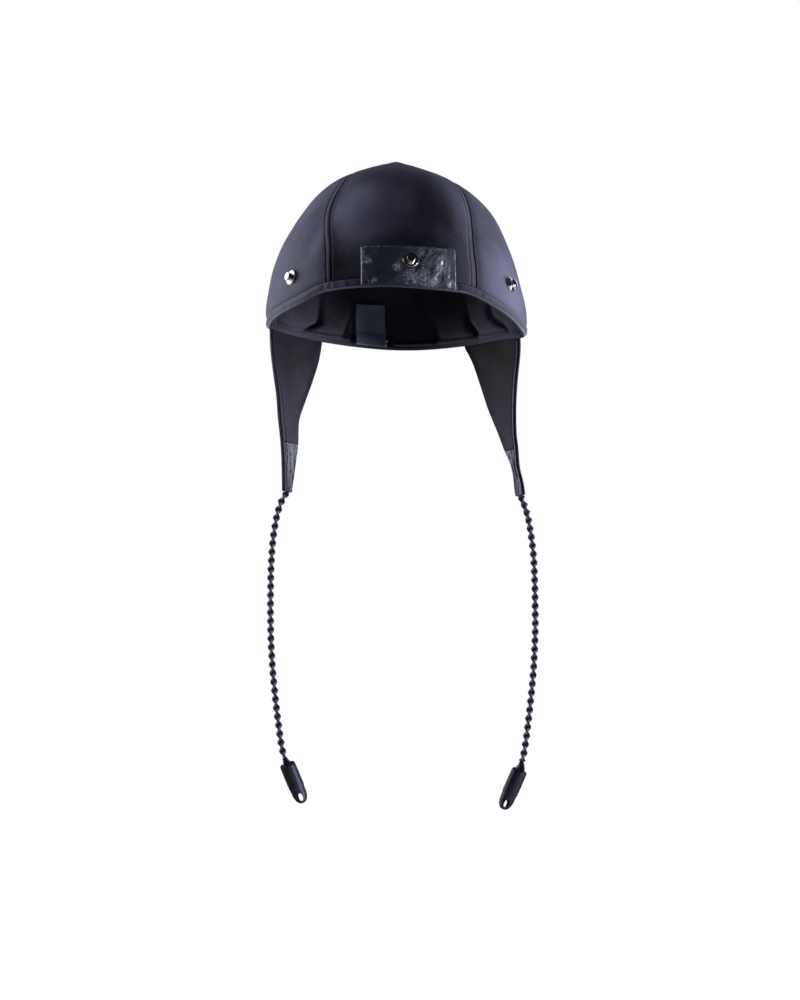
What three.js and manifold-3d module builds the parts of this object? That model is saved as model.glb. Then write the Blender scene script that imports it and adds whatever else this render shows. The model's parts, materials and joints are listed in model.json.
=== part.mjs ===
// A soft helmet of padded cloth: a five-panel crown with a rolled hem and a gathered lining,
// a twill patch, three press studs, two long ear flaps and two braided cords with cord ends.
// Millimetres, +Z up, the wearer faces -Y, the origin is the middle of the head opening.
import * as THREE from 'three';
import Module from 'manifold-3d';

const wasm = await Module();
wasm.setup();

// Cloth thicknesses and gaps
const SHELL = 2.0;
const LINING = 1.0;
const PATCH_CLOTH = 1.1;
const TAG_CLOTH = 1.0;
const FLAP_CLOTH = 3.2;
const GAP = 0.35;
const LINING_GAP = 0.6;
const TAG_GAP = 0.75;
const SEAM_GAP = 0.3;

// The crown: a row for each level, with the half width and how far the level leans to one side
const DEPTH_RATIO = 1.1;
const CROWN = [
  { height: -14, halfWidth: 92.2, lean: 0 },
  { height: 0, halfWidth: 92.4, lean: 0 },
  { height: 12, halfWidth: 92.0, lean: -0.4 },
  { height: 26, halfWidth: 89.4, lean: -1.1 },
  { height: 40, halfWidth: 85.9, lean: -1.5 },
  { height: 54, halfWidth: 80.6, lean: -1.4 },
  { height: 67, halfWidth: 73.8, lean: -0.9 },
  { height: 79, halfWidth: 66.0, lean: -0.8 },
  { height: 89, halfWidth: 57.4, lean: -1.2 },
  { height: 97, halfWidth: 48.2, lean: -1.8 },
  { height: 103, halfWidth: 38.0, lean: -1.9 },
  { height: 108, halfWidth: 26.8, lean: -1.2 },
  { height: 112, halfWidth: 16.8, lean: -0.5 },
  { height: 115, halfWidth: 8.5, lean: -0.2 },
  { height: 117, halfWidth: 3.6, lean: 0 },
  { height: 118, halfWidth: 0, lean: 0 },
];
const PANEL_TIP_HALF_WIDTH = 1.3;

// The seams: azimuth of the front seam on each side by height, and of the side seam on both sides
const SEAMS = [
  { height: -14, frontLeft: 32, frontRight: 32, side: 107 },
  { height: 12, frontLeft: 32.2, frontRight: 32.6, side: 107 },
  { height: 26, frontLeft: 32.9, frontRight: 34.0, side: 107.4 },
  { height: 40, frontLeft: 34.1, frontRight: 35.0, side: 108 },
  { height: 54, frontLeft: 37.3, frontRight: 37.4, side: 109 },
  { height: 67, frontLeft: 41.0, frontRight: 40.8, side: 111 },
  { height: 79, frontLeft: 43.1, frontRight: 45.0, side: 113 },
  { height: 89, frontLeft: 43.9, frontRight: 51.0, side: 115 },
  { height: 97, frontLeft: 46.4, frontRight: 59.0, side: 118 },
  { height: 105, frontLeft: 51.5, frontRight: 66.0, side: 121 },
  { height: 118, frontLeft: 56.0, frontRight: 70.0, side: 123 },
];
const SEAM_DIP = 0.9;
const SEAM_DIP_SPAN = 4;

// Soft swells of the shell with dents left between them: centre, reach along and across,
// the slope of "along" in degrees, and rise
const SWELLS = [
  { azimuth: -68, height: 97, along: 20, across: 12, slope: 0, rise: 0.5 },
  { azimuth: 88, height: 78, along: 32, across: 17, slope: 0, rise: 1.5 },
  { azimuth: -14, height: 79, along: 22, across: 11, slope: -60, rise: 1.0 },
  { azimuth: 24, height: 74, along: 24, across: 11, slope: -65, rise: 0.9 },
  { azimuth: -60, height: 64, along: 18, across: 12, slope: 50, rise: 1.1 },
  { azimuth: 62, height: 56, along: 24, across: 14, slope: -60, rise: 0.8 },
  { azimuth: -135, height: 60, along: 26, across: 14, slope: 60, rise: 1.1 },
  { azimuth: 128, height: 60, along: 26, across: 14, slope: -60, rise: 1.0 },
];

// The rim: height of the hem's lower edge around the opening, azimuth 0 at the front and 90 at +X
const RIM = [
  { azimuth: -180, height: -1.5 },
  { azimuth: -150, height: 1.0 },
  { azimuth: -125, height: 1.5 },
  { azimuth: -105, height: 0 },
  { azimuth: -90, height: -3.6 },
  { azimuth: -75, height: -1.6 },
  { azimuth: -62, height: 0.4 },
  { azimuth: -50, height: 3.2 },
  { azimuth: -40, height: 7.4 },
  { azimuth: -28, height: 8.8 },
  { azimuth: -8, height: 8.8 },
  { azimuth: 12, height: 7.4 },
  { azimuth: 27, height: 6.6 },
  { azimuth: 36, height: 3.6 },
  { azimuth: 46, height: -0.6 },
  { azimuth: 58, height: -5.0 },
  { azimuth: 70, height: -8.6 },
  { azimuth: 85, height: -8.8 },
  { azimuth: 100, height: -5.8 },
  { azimuth: 115, height: -2.6 },
  { azimuth: 140, height: -1.6 },
  { azimuth: 165, height: -2.0 },
  { azimuth: 180, height: -1.5 },
];

// The hem's section: depth into the hat and height above its lower edge
const HEM_SECTION = [
  { depth: 0.3, rise: 6.0 },
  { depth: 0.0, rise: 4.4 },
  { depth: 0.3, rise: 2.2 },
  { depth: 1.2, rise: 0.6 },
  { depth: 2.4, rise: 0.0 },
  { depth: 3.7, rise: 0.3 },
  { depth: 4.8, rise: 1.6 },
  { depth: 4.9, rise: 3.6 },
  { depth: 4.2, rise: 6.0 },
];
const HEM_HEIGHT = 6.0;
const HEM_STATIONS = 60;

// The lining's soft folds: where each one swells inward, how wide, how deep and how high
const GATHERS = [
  { azimuth: -150, halfSpan: 11, depth: 3.0, height: 28 },
  { azimuth: -119, halfSpan: 17, depth: 4.2, height: 32 },
  { azimuth: -84, halfSpan: 14, depth: 2.8, height: 26 },
  { azimuth: -48, halfSpan: 15, depth: 2.2, height: 24 },
  { azimuth: 10, halfSpan: 20, depth: 1.6, height: 24 },
  { azimuth: 54, halfSpan: 15, depth: 2.4, height: 24 },
  { azimuth: 86, halfSpan: 14, depth: 3.2, height: 28 },
  { azimuth: 118, halfSpan: 17, depth: 5.0, height: 34 },
  { azimuth: 148, halfSpan: 10, depth: 4.2, height: 34 },
  { azimuth: 170, halfSpan: 9, depth: 3.2, height: 34 },
];

// The flaps: front and rear edge azimuth and outward splay by height, and where the sleeve starts
const FLAP_WALL = 0.5;
const FLAP_EDGE_ROUND = 0.32;
const FLAPS = {
  left: {
    side: -1,
    sleeveTop: -77,
    rows: [
      { height: 0, front: 103.4, rear: 146.8, splay: 0.5 },
      { height: -14, front: 106, rear: 145, splay: 0.7 },
      { height: -30, front: 110.4, rear: 141.2, splay: 0.8 },
      { height: -45, front: 114.2, rear: 136.8, splay: 0.8 },
      { height: -60, front: 116.4, rear: 132.8, splay: 1.1 },
      { height: -77, front: 119.4, rear: 132.4, splay: 1.4 },
      { height: -94, front: 121, rear: 130.6, splay: 1.7 },
      { height: -112, front: 121.8, rear: 128.4, splay: 2.0 },
    ],
  },
  right: {
    side: 1,
    sleeveTop: -83,
    rows: [
      { height: -3, front: 99.5, rear: 141.6, splay: 0.2 },
      { height: -15, front: 101.6, rear: 137.6, splay: 1.2 },
      { height: -34, front: 106.4, rear: 133.1, splay: 2.1 },
      { height: -51, front: 109.2, rear: 129.2, splay: 3.1 },
      { height: -70, front: 110.4, rear: 123.4, splay: 4.2 },
      { height: -83, front: 109.8, rear: 119.6, splay: 5.1 },
      { height: -96, front: 110.0, rear: 115.4, splay: 6.4 },
      { height: -108, front: 108.0, rear: 114.8, splay: 7.6 },
      { height: -116, front: 107.0, rear: 114.0, splay: 8.0 },
    ],
  },
};

// The cords: each route from the sleeve's end down to the toggle, points chosen along the braid
const CORD_DIAMETER = 4.9;
const CORD_SIDES = 8;
const CORD_STEPS = 18;
const CORDS = {
  left: [
    [-76.2, 58.4, -112.9], [-76.5, 58.4, -114.8], [-79.2, 58.3, -119.6], [-82.0, 58.2, -127.8],
    [-83.9, 58.0, -137.2], [-85.4, 58.0, -148.1], [-86.3, 58.0, -159.7], [-86.8, 58.0, -172.0],
    [-86.9, 58.0, -185.0], [-86.9, 58.0, -198.7], [-86.7, 58.0, -213.2], [-86.1, 58.0, -227.5],
    [-85.1, 58.0, -241.9], [-83.7, 58.0, -256.2], [-82.1, 58.0, -270.6], [-80.4, 58.0, -283.4],
    [-78.6, 58.0, -295.6], [-76.6, 58.0, -304.0],
  ],
  right: [
    [92.7, 37.4, -116.9], [93.0, 37.7, -118.8], [95.4, 40.8, -123.4], [98.3, 45.0, -131.0],
    [100.3, 48.2, -139.8], [101.8, 49.7, -149.8], [102.9, 50.0, -160.7], [103.4, 50.0, -173.0],
    [103.7, 50.0, -186.1], [103.8, 50.0, -199.8], [103.7, 50.0, -214.3], [103.1, 50.0, -228.7],
    [102.2, 50.0, -243.1], [100.8, 50.0, -257.5], [99.2, 50.0, -271.8], [97.6, 50.0, -284.7],
    [95.9, 50.0, -296.9], [93.8, 50.0, -306.9],
  ],
};

// The toggles: the lean toward the middle at the foot, the tip toward the wearer's front at the mouth,
// the shift along X from the cord's end, the drop of the mouth below it, and the barrel's profile
const TOGGLES = {
  left: { side: -1, lean: 22.6, tip: 16, shift: 0, mouthDrop: 5.6 },
  right: { side: 1, lean: 21.8, tip: 16, shift: 1.2, mouthDrop: 7.2 },
};
const TOGGLE_PROFILE = [
  { radius: 5.3, drop: 0 },
  { radius: 5.7, drop: 1.5 },
  { radius: 5.75, drop: 18.0 },
  { radius: 5.4, drop: 19.6 },
  { radius: 5.25, drop: 24.0 },
  { radius: 4.85, drop: 26.4 },
  { radius: 3.9, drop: 28.9 },
  { radius: 2.3, drop: 30.6 },
  { radius: 0, drop: 31.2 },
];
const TOGGLE_BORE = [
  { radius: 0, drop: 8.0 },
  { radius: 4.0, drop: 8.0 },
  { radius: 4.6, drop: 7.0 },
  { radius: 4.6, drop: 0 },
];
const TOGGLE_SIDES = 20;
const CROSS_HOLE = { width: 3.4, length: 5.6, drop: 26.6, reach: 9.0, segments: 6 };
const TOGGLE_SLOTS = [
  { drop: 16.4, width: 5.6, height: 1.2, depth: 1.3 },
  { drop: 26.8, width: 3.6, height: 1.5, depth: 1.2 },
];
const CORD_END_SIDES = 12;
const CORD_END = [
  { radius: 2.1, drop: 0.9 },
  { radius: 3.2, drop: 4.5 },
  { radius: 4.1, drop: 6.8 },
  { radius: 4.1, drop: 9.4 },
];

// The press studs: a flange with a raised knob whose top is flat
const STUD_PROFILE = [
  { radius: 5.2, rise: 0 },
  { radius: 5.2, rise: 0.6 },
  { radius: 4.5, rise: 1.2 },
  { radius: 2.5, rise: 1.4 },
  { radius: 2.4, rise: 2.0 },
  { radius: 3.0, rise: 2.6 },
  { radius: 2.9, rise: 3.5 },
  { radius: 1.8, rise: 4.0 },
];
const STUD_SIDES = 16;
const STUDS = {
  front: { azimuth: 2.5, height: 26.7, lift: 2 * GAP + PATCH_CLOTH },
  left: { azimuth: -56.5, height: 22.5, lift: GAP },
  right: { azimuth: 57, height: 19.6, lift: GAP },
};

// The patch over the forehead and the care tag inside the back
const PATCH = { from: -30.4, to: 33.4, top: 37.2, bottomRise: 0.4 };
const TAG = { from: -179.4, to: -164.2, top: 32.5, bottomRise: 1.6 };
const TAG_OVER_HEM = { rise: 7.0, fade: 6.0, depth: 5.3 };

const CHARCOAL = { color: 0x30303a, roughness: 0.75, metalness: 0 };
const LINING_CLOTH = { color: 0x1a1a1e, roughness: 0.9, metalness: 0 };
const TWILL = { color: 0x16181f, roughness: 0.35, metalness: 0 };
const SATIN = { color: 0x2a2b31, roughness: 0.4, metalness: 0 };
const BRAID = { color: 0x15151a, roughness: 0.85, metalness: 0 };
const PLASTIC = { color: 0x141417, roughness: 0.5, metalness: 0 };
const CHROME = { color: 0xd8dade, roughness: 0.12, metalness: 1 };

const radians = THREE.MathUtils.degToRad;
const mix = THREE.MathUtils.lerp;
const clamp = THREE.MathUtils.clamp;

// A column of a table as a smooth curve, read at a fractional row
function smooth(rows, column, at) {
  const i = clamp(Math.floor(at), 0, rows.length - 2);
  const value = (k) => rows[clamp(k, 0, rows.length - 1)][column];
  const t = at - i;
  const before = (value(i + 1) - value(i - 1)) / 2;
  const after = (value(i + 2) - value(i)) / 2;
  const slow = t * t * (3 - 2 * t);
  const curl = t * (1 - t);
  return mix(value(i), value(i + 1), slow) + curl * ((1 - t) * before - t * after);
}

// The fractional row where a steadily rising or falling column has a value
function rowOf(rows, column, value) {
  const rising = rows[rows.length - 1][column] > rows[0][column];
  let low = 0;
  let high = rows.length - 1;
  for (let turn = 0; turn < 40; turn += 1) {
    const middle = (low + high) / 2;
    const past = smooth(rows, column, middle) > value;
    if (past === rising) {
      high = middle;
    } else {
      low = middle;
    }
  }
  return (low + high) / 2;
}

function lookUp(rows, key, value, column) {
  return smooth(rows, column, rowOf(rows, key, value));
}

const levelOf = (height) => rowOf(CROWN, 'height', height);
const PANEL_TIP = rowOf(CROWN, 'halfWidth', PANEL_TIP_HALF_WIDTH);

// An azimuth from -180 up to 180
function wrapped(azimuth) {
  return THREE.MathUtils.euclideanModulo(azimuth + 180, 360) - 180;
}

function rimHeight(azimuth) {
  return lookUp(RIM, 'azimuth', wrapped(azimuth), 'height');
}

function onCrown(azimuth, level) {
  const angle = radians(azimuth);
  const halfWidth = smooth(CROWN, 'halfWidth', level);
  return new THREE.Vector3(
    smooth(CROWN, 'lean', level) + halfWidth * Math.sin(angle),
    -halfWidth * DEPTH_RATIO * Math.cos(angle),
    smooth(CROWN, 'height', level),
  );
}

function crownNormal(azimuth, level) {
  const step = 0.02;
  const around = onCrown(azimuth + 1, level).sub(onCrown(azimuth - 1, level));
  const up = onCrown(azimuth, level + step).sub(onCrown(azimuth, level - step));
  return around.cross(up).normalize();
}

// A point at a depth under the crown's plain form
function crownPoint(azimuth, level, depth) {
  return onCrown(azimuth, level).addScaledVector(crownNormal(azimuth, level), -depth);
}

// How far the soft swells lift the shell at a place
function swellRise(azimuth, level) {
  const height = smooth(CROWN, 'height', level);
  const halfWidth = smooth(CROWN, 'halfWidth', level);
  let rise = 0;
  for (const swell of SWELLS) {
    const east = radians(wrapped(azimuth - swell.azimuth)) * halfWidth;
    const north = height - swell.height;
    const slope = radians(swell.slope);
    const along = (east * Math.cos(slope) + north * Math.sin(slope)) / swell.along;
    const across = (north * Math.cos(slope) - east * Math.sin(slope)) / swell.across;
    rise += swell.rise * Math.exp(-along * along - across * across);
  }
  return rise;
}

// A point at a depth under the shell's outer face, swells included
function shellPoint(azimuth, level, depth) {
  return crownPoint(azimuth, level, depth - swellRise(azimuth, level));
}

// A closed geometry from triangles of points, with shared corners welded
function weld(triangles) {
  const corners = new Map();
  const positions = [];
  const index = [];
  const cornerOf = (point) => {
    const key = point.toArray().map((value) => Math.round(value * 1e4)).join();
    if (!corners.has(key)) {
      corners.set(key, corners.size);
      positions.push(...point.toArray());
    }
    return corners.get(key);
  };
  for (const triangle of triangles) {
    const [a, b, c] = triangle.map(cornerOf);
    if (a !== b && b !== c && c !== a) {
      index.push(a, b, c);
    }
  }
  const geometry = new THREE.BufferGeometry();
  geometry.setAttribute('position', new THREE.Float32BufferAttribute(positions, 3));
  geometry.setIndex(index);
  geometry.computeVertexNormals();
  return geometry;
}

// A wall between two faces, each a function of (u, v) from 0 to 1, with v running up
function wall(outer, inner, columns, rows, closed = false) {
  const grid = (face) => Array.from({ length: columns + 1 }, (_, i) => {
    const u = closed && i === columns ? 0 : i / columns;
    return Array.from({ length: rows + 1 }, (__, j) => face(u, j / rows));
  });
  const front = grid(outer);
  const back = grid(inner);
  const triangles = [];
  const quad = (a, b, c, d) => triangles.push([a, b, c], [a, c, d]);
  for (let i = 0; i < columns; i += 1) {
    for (let j = 0; j < rows; j += 1) {
      quad(front[i][j], front[i + 1][j], front[i + 1][j + 1], front[i][j + 1]);
      quad(back[i + 1][j], back[i][j], back[i][j + 1], back[i + 1][j + 1]);
    }
    quad(front[i + 1][0], front[i][0], back[i][0], back[i + 1][0]);
    quad(front[i][rows], front[i + 1][rows], back[i + 1][rows], back[i][rows]);
  }
  for (let j = 0; j < rows && !closed; j += 1) {
    quad(front[0][j], front[0][j + 1], back[0][j + 1], back[0][j]);
    quad(front[columns][j + 1], front[columns][j], back[columns][j], back[columns][j + 1]);
  }
  return weld(triangles);
}

// A geometry's triangles as one welded solid
function trianglesToSolid(geometry) {
  const plain = geometry.index ? geometry.toNonIndexed() : geometry;
  const position = plain.getAttribute('position');
  const corner = (i) => new THREE.Vector3().fromBufferAttribute(position, i);
  const triangles = [];
  for (let i = 0; i < position.count; i += 3) {
    triangles.push([corner(i), corner(i + 1), corner(i + 2)]);
  }
  return weld(triangles);
}

// A lathe around local Z from a profile that closes on the axis
function turned(points, sides) {
  const outline = points.map(([radius, z]) => new THREE.Vector2(radius, z));
  const lathe = new THREE.LatheGeometry(outline, sides);
  lathe.rotateX(Math.PI / 2);
  return trianglesToSolid(lathe);
}

function toManifold(geometry) {
  return new wasm.Manifold(new wasm.Mesh({
    numProp: 3,
    vertProperties: new Float32Array(geometry.getAttribute('position').array),
    triVerts: new Uint32Array(geometry.getIndex().array),
  }));
}

function fromManifold(solid) {
  const mesh = solid.getMesh();
  const geometry = new THREE.BufferGeometry();
  geometry.setAttribute('position', new THREE.Float32BufferAttribute(mesh.vertProperties, 3));
  geometry.setIndex(Array.from(mesh.triVerts));
  geometry.computeVertexNormals();
  return geometry;
}

const helmet = new THREE.Group();

function add(name, geometry, look, parent = helmet) {
  const mesh = new THREE.Mesh(geometry, new THREE.MeshStandardMaterial(look));
  mesh.name = name;
  parent.add(mesh);
  return mesh;
}

// Crown panels
const PANELS = {
  front_panel: { from: { side: -1, seam: 'frontLeft' }, to: { side: 1, seam: 'frontRight' } },
  side_panel_left: { from: { side: -1, seam: 'side' }, to: { side: -1, seam: 'frontLeft' } },
  side_panel_right: { from: { side: 1, seam: 'frontRight' }, to: { side: 1, seam: 'side' } },
  back_panel_left: { from: { side: -1, seam: 'back' }, to: { side: -1, seam: 'side' } },
  back_panel_right: { from: { side: 1, seam: 'side' }, to: { side: 1, seam: 'back' } },
};
const PANEL_COLUMNS = 12;
const PANEL_ROWS = 12;
const PANEL_CROWDING = 0.09;

function seamAzimuth({ side, seam }, level) {
  const height = smooth(CROWN, 'height', level);
  return side * (seam === 'back' ? 180 : lookUp(SEAMS, 'height', height, seam));
}

function panelPoint(panel, u, v, deep) {
  const crowded = u - PANEL_CROWDING * Math.sin(2 * Math.PI * u);
  const azimuthAt = (level) => {
    const halfGap = THREE.MathUtils.radToDeg(SEAM_GAP / 2 / smooth(CROWN, 'halfWidth', level));
    const from = seamAzimuth(panel.from, level) + halfGap;
    const to = seamAzimuth(panel.to, level) - halfGap;
    return mix(from, to, crowded);
  };
  const foot = rimHeight(azimuthAt(levelOf(HEM_HEIGHT))) + HEM_HEIGHT + GAP;
  const level = mix(levelOf(foot), PANEL_TIP, v);
  const azimuth = azimuthAt(level);
  if (deep) {
    return shellPoint(azimuth, level, SHELL);
  }
  const toNearerSeam = Math.min(
    azimuth - seamAzimuth(panel.from, level),
    seamAzimuth(panel.to, level) - azimuth,
  );
  const reach = radians(toNearerSeam) * smooth(CROWN, 'halfWidth', level) / SEAM_DIP_SPAN;
  return shellPoint(azimuth, level, SEAM_DIP * Math.exp(-reach * reach));
}

for (const [name, panel] of Object.entries(PANELS)) {
  const outer = (u, v) => panelPoint(panel, u, v, false);
  const inner = (u, v) => panelPoint(panel, u, v, true);
  add(name, wall(outer, inner, PANEL_COLUMNS, PANEL_ROWS), CHARCOAL);
}

// Hem band: its section carried around the opening
function hemPoint(azimuth, row) {
  const height = rimHeight(azimuth) + smooth(HEM_SECTION, 'rise', row);
  return shellPoint(azimuth, levelOf(height), smooth(HEM_SECTION, 'depth', row));
}

function hemBand() {
  const sections = Array.from({ length: HEM_STATIONS }, (_, station) => {
    const azimuth = (station / HEM_STATIONS) * 360 - 180;
    return HEM_SECTION.map((__, row) => hemPoint(azimuth, row));
  });
  const triangles = [];
  sections.forEach((here, station) => {
    const next = sections[(station + 1) % HEM_STATIONS];
    here.forEach((corner, row) => {
      const below = (row + 1) % here.length;
      triangles.push([corner, here[below], next[below]], [corner, next[below], next[row]]);
    });
  });
  return weld(triangles);
}

add('hem_band', hemBand(), CHARCOAL);

// Lining: a dome under the panels that swells into soft folds near the hem
const LINING_COLUMNS = 48;
const LINING_ROWS = 12;
const LINING_ROW_SPREAD = 1.15;
const LINING_FOOT_RISE = HEM_HEIGHT + GAP;
const GATHER_AT_HEM = 0.55;

function gatherDepth(azimuth, height) {
  let depth = 0;
  for (const fold of GATHERS) {
    const away = Math.abs(wrapped(azimuth - fold.azimuth));
    const rise = clamp((height - rimHeight(azimuth)) / fold.height, 0, 1);
    if (away < fold.halfSpan) {
      const bell = 0.5 + 0.5 * Math.cos(Math.PI * away / fold.halfSpan);
      const swell = mix(GATHER_AT_HEM, 1, Math.sin(Math.PI * rise));
      depth += fold.depth * bell * (1 - rise * rise) * swell;
    }
  }
  return depth;
}

function liningPoint(u, v, extraDepth) {
  const azimuth = u * 360 - 180;
  const foot = levelOf(rimHeight(azimuth) + LINING_FOOT_RISE);
  const level = mix(foot, CROWN.length - 1, v ** LINING_ROW_SPREAD);
  const fold = gatherDepth(azimuth, smooth(CROWN, 'height', level));
  if (v === 1) {
    const top = CROWN[CROWN.length - 1].height;
    return new THREE.Vector3(0, 0, top - SHELL - LINING_GAP - extraDepth);
  }
  return crownPoint(azimuth, level, SHELL + LINING_GAP + fold + extraDepth);
}

add('lining', wall(
  (u, v) => liningPoint(u, v, 0),
  (u, v) => liningPoint(u, v, LINING),
  LINING_COLUMNS,
  LINING_ROWS,
  true,
), LINING_CLOTH);

// Patch and care tag: thin cloth laid on the crown's outer face and on the lining
function laidCloth(area, azimuthOf, depthOf, thickness, columns, rows) {
  const point = (u, v, extraDepth) => {
    const across = mix(area.from, area.to, u);
    const rough = azimuthOf(across, area.top);
    const height = mix(rimHeight(rough) + area.bottomRise, area.top, v);
    const azimuth = azimuthOf(across, height);
    return crownPoint(azimuth, levelOf(height), depthOf(azimuth, height) + extraDepth);
  };
  return wall((u, v) => point(u, v, 0), (u, v) => point(u, v, thickness), columns, rows);
}

function azimuthAcross(x, height) {
  const level = levelOf(height);
  const reach = (x - smooth(CROWN, 'lean', level)) / smooth(CROWN, 'halfWidth', level);
  return THREE.MathUtils.radToDeg(Math.asin(reach));
}

const patchDepth = () => -(GAP + PATCH_CLOTH);
add('front_patch', laidCloth(PATCH, azimuthAcross, patchDepth, PATCH_CLOTH, 8, 4), TWILL);

function tagDepth(azimuth, height) {
  const onLining = SHELL + LINING_GAP + LINING + TAG_GAP + gatherDepth(azimuth, height);
  const rise = height - rimHeight(azimuth) - TAG_OVER_HEM.rise;
  const clear = THREE.MathUtils.smoothstep(rise, 0, TAG_OVER_HEM.fade);
  return mix(TAG_OVER_HEM.depth, onLining, clear);
}

add('care_tag', laidCloth(TAG, (azimuth) => azimuth, tagDepth, TAG_CLOTH, 4, 8), SATIN);

// Press studs: turned flange and knob, seated square to the cloth
function studGeometry() {
  const side = STUD_PROFILE.map(({ radius, rise }) => [radius, rise]);
  const top = STUD_PROFILE[STUD_PROFILE.length - 1].rise;
  return turned([[0, 0], ...side, [0, top]], STUD_SIDES);
}

for (const [name, seat] of Object.entries(STUDS)) {
  const stud = add(`snap_${name}`, studGeometry(), CHROME);
  const level = levelOf(seat.height);
  stud.position.copy(crownPoint(seat.azimuth, level, -seat.lift));
  const up = new THREE.Vector3(0, 0, 1);
  stud.quaternion.setFromUnitVectors(up, crownNormal(seat.azimuth, level));
}

// Ear flaps and their sleeves: padded cloth hanging on the line of the opening
function flapPoint(flap, height, u, depth) {
  const row = rowOf(flap.rows, 'height', height);
  const front = smooth(flap.rows, 'front', row);
  const rear = smooth(flap.rows, 'rear', row);
  const azimuth = flap.side * mix(front, rear, flap.side > 0 ? u : 1 - u);
  const splay = smooth(flap.rows, 'splay', row);
  const halfWidth = CROWN[1].halfWidth + splay;
  const halfDepth = CROWN[1].halfWidth * DEPTH_RATIO + splay;
  const angle = radians(azimuth);
  const normal = new THREE.Vector3(Math.sin(angle) / halfWidth, -Math.cos(angle) / halfDepth, 0);
  const point = new THREE.Vector3(halfWidth * Math.sin(angle), -halfDepth * Math.cos(angle), height);
  return point.addScaledVector(normal.normalize(), -depth);
}

function flapTop(flap, u) {
  const first = flap.rows[0];
  const azimuth = flap.side * mix(first.front, first.rear, flap.side > 0 ? u : 1 - u);
  return rimHeight(azimuth) - GAP;
}

function paddedCloth(flap, topOf, bottom, columns, rows) {
  const face = (inner) => (u, v) => {
    const height = mix(bottom, topOf(u), v);
    const edge = Math.abs(2 * u - 1) ** 6;
    const thin = FLAP_EDGE_ROUND * FLAP_CLOTH * edge;
    return flapPoint(flap, height, u, FLAP_WALL + (inner ? FLAP_CLOTH - thin : thin));
  };
  return wall(face(false), face(true), columns, rows);
}

for (const [name, flap] of Object.entries(FLAPS)) {
  const sleeveBottom = flap.rows[flap.rows.length - 1].height;
  const flapSolid = paddedCloth(flap, (u) => flapTop(flap, u), flap.sleeveTop + GAP, 8, 8);
  add(`flap_${name}`, flapSolid, CHARCOAL);
  add(`flap_tip_${name}`, paddedCloth(flap, () => flap.sleeveTop, sleeveBottom, 5, 4), TWILL);
}

// Cords: plain tubes along their hanging routes
function cordTube(points) {
  const route = new THREE.CatmullRomCurve3(points.map((point) => new THREE.Vector3(...point)));
  const section = new THREE.Shape();
  for (let side = 0; side < CORD_SIDES; side += 1) {
    const angle = (side / CORD_SIDES) * 2 * Math.PI;
    const x = CORD_DIAMETER / 2 * Math.cos(angle);
    const y = CORD_DIAMETER / 2 * Math.sin(angle);
    if (side === 0) {
      section.moveTo(x, y);
    } else {
      section.lineTo(x, y);
    }
  }
  section.closePath();
  const options = { steps: CORD_STEPS, extrudePath: route, bevelEnabled: false };
  return new THREE.ExtrudeGeometry(section, options);
}

for (const [name, points] of Object.entries(CORDS)) {
  add(`cord_${name}`, cordTube(points), BRAID);
}

// Toggles: a hollow barrel with side slots and, in its nose, a cross hole that hangs level
function crossHole(tip) {
  const { width, length, drop, reach, segments } = CROSS_HOLE;
  const half = width / 2;
  const straight = (length - width) / 2;
  const outline = new THREE.Shape();
  outline.absarc(0, straight, half, 0, Math.PI, false);
  outline.absarc(0, -straight, half, Math.PI, 2 * Math.PI, false);
  outline.closePath();
  const options = { depth: 2 * reach, bevelEnabled: false, curveSegments: segments };
  const hole = new THREE.ExtrudeGeometry(outline, options);
  hole.translate(0, 0, -reach);
  hole.rotateX(Math.PI / 2 - radians(tip));
  hole.translate(0, 0, -drop);
  return trianglesToSolid(hole);
}

function toggleGeometry({ side, tip }) {
  const rows = [...TOGGLE_PROFILE.toReversed(), ...TOGGLE_BORE.toReversed()];
  const profile = rows.map(({ radius, drop }) => [radius, -drop]);
  let body = toManifold(turned(profile, TOGGLE_SIDES));
  body = body.subtract(toManifold(crossHole(tip)));
  for (const slot of TOGGLE_SLOTS) {
    const outerRadius = lookUp(TOGGLE_PROFILE, 'drop', slot.drop, 'radius');
    const box = new THREE.BoxGeometry(2 * slot.depth, slot.width, slot.height);
    box.translate(side * outerRadius, 0, -slot.drop);
    body = body.subtract(toManifold(trianglesToSolid(box)));
  }
  return fromManifold(body);
}

function cordEndGeometry() {
  const side = CORD_END.map(({ radius, drop }) => [radius, -drop]);
  const bottom = CORD_END[CORD_END.length - 1].drop;
  return turned([[0, -bottom], ...side.reverse(), [0, 0]], CORD_END_SIDES);
}

for (const [name, seat] of Object.entries(TOGGLES)) {
  const hanging = new THREE.Group();
  const [x, y, z] = CORDS[name][CORDS[name].length - 1];
  hanging.position.set(x + seat.shift, y, z);
  hanging.rotation.set(radians(seat.tip), radians(seat.side * seat.lean), 0);
  helmet.add(hanging);
  const end = add(`cord_end_${name}`, cordEndGeometry(), BRAID, hanging);
  end.position.z = -GAP;
  const toggle = add(`toggle_${name}`, toggleGeometry(seat), PLASTIC, hanging);
  toggle.position.z = -seat.mouthDrop;
}

export default helmet;
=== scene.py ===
"""A soft cloth helmet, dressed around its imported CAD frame: woven panels with sewn seams, a gathered
lining, a glossy twill patch, press studs, padded ear flaps, twisted braids and moulded toggles.
Sizes are in millimetres in the row frame, and every mesh is written in metres."""

import json
import math

import bmesh
import bpy
import numpy as np
from mathutils import Matrix, Vector

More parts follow.
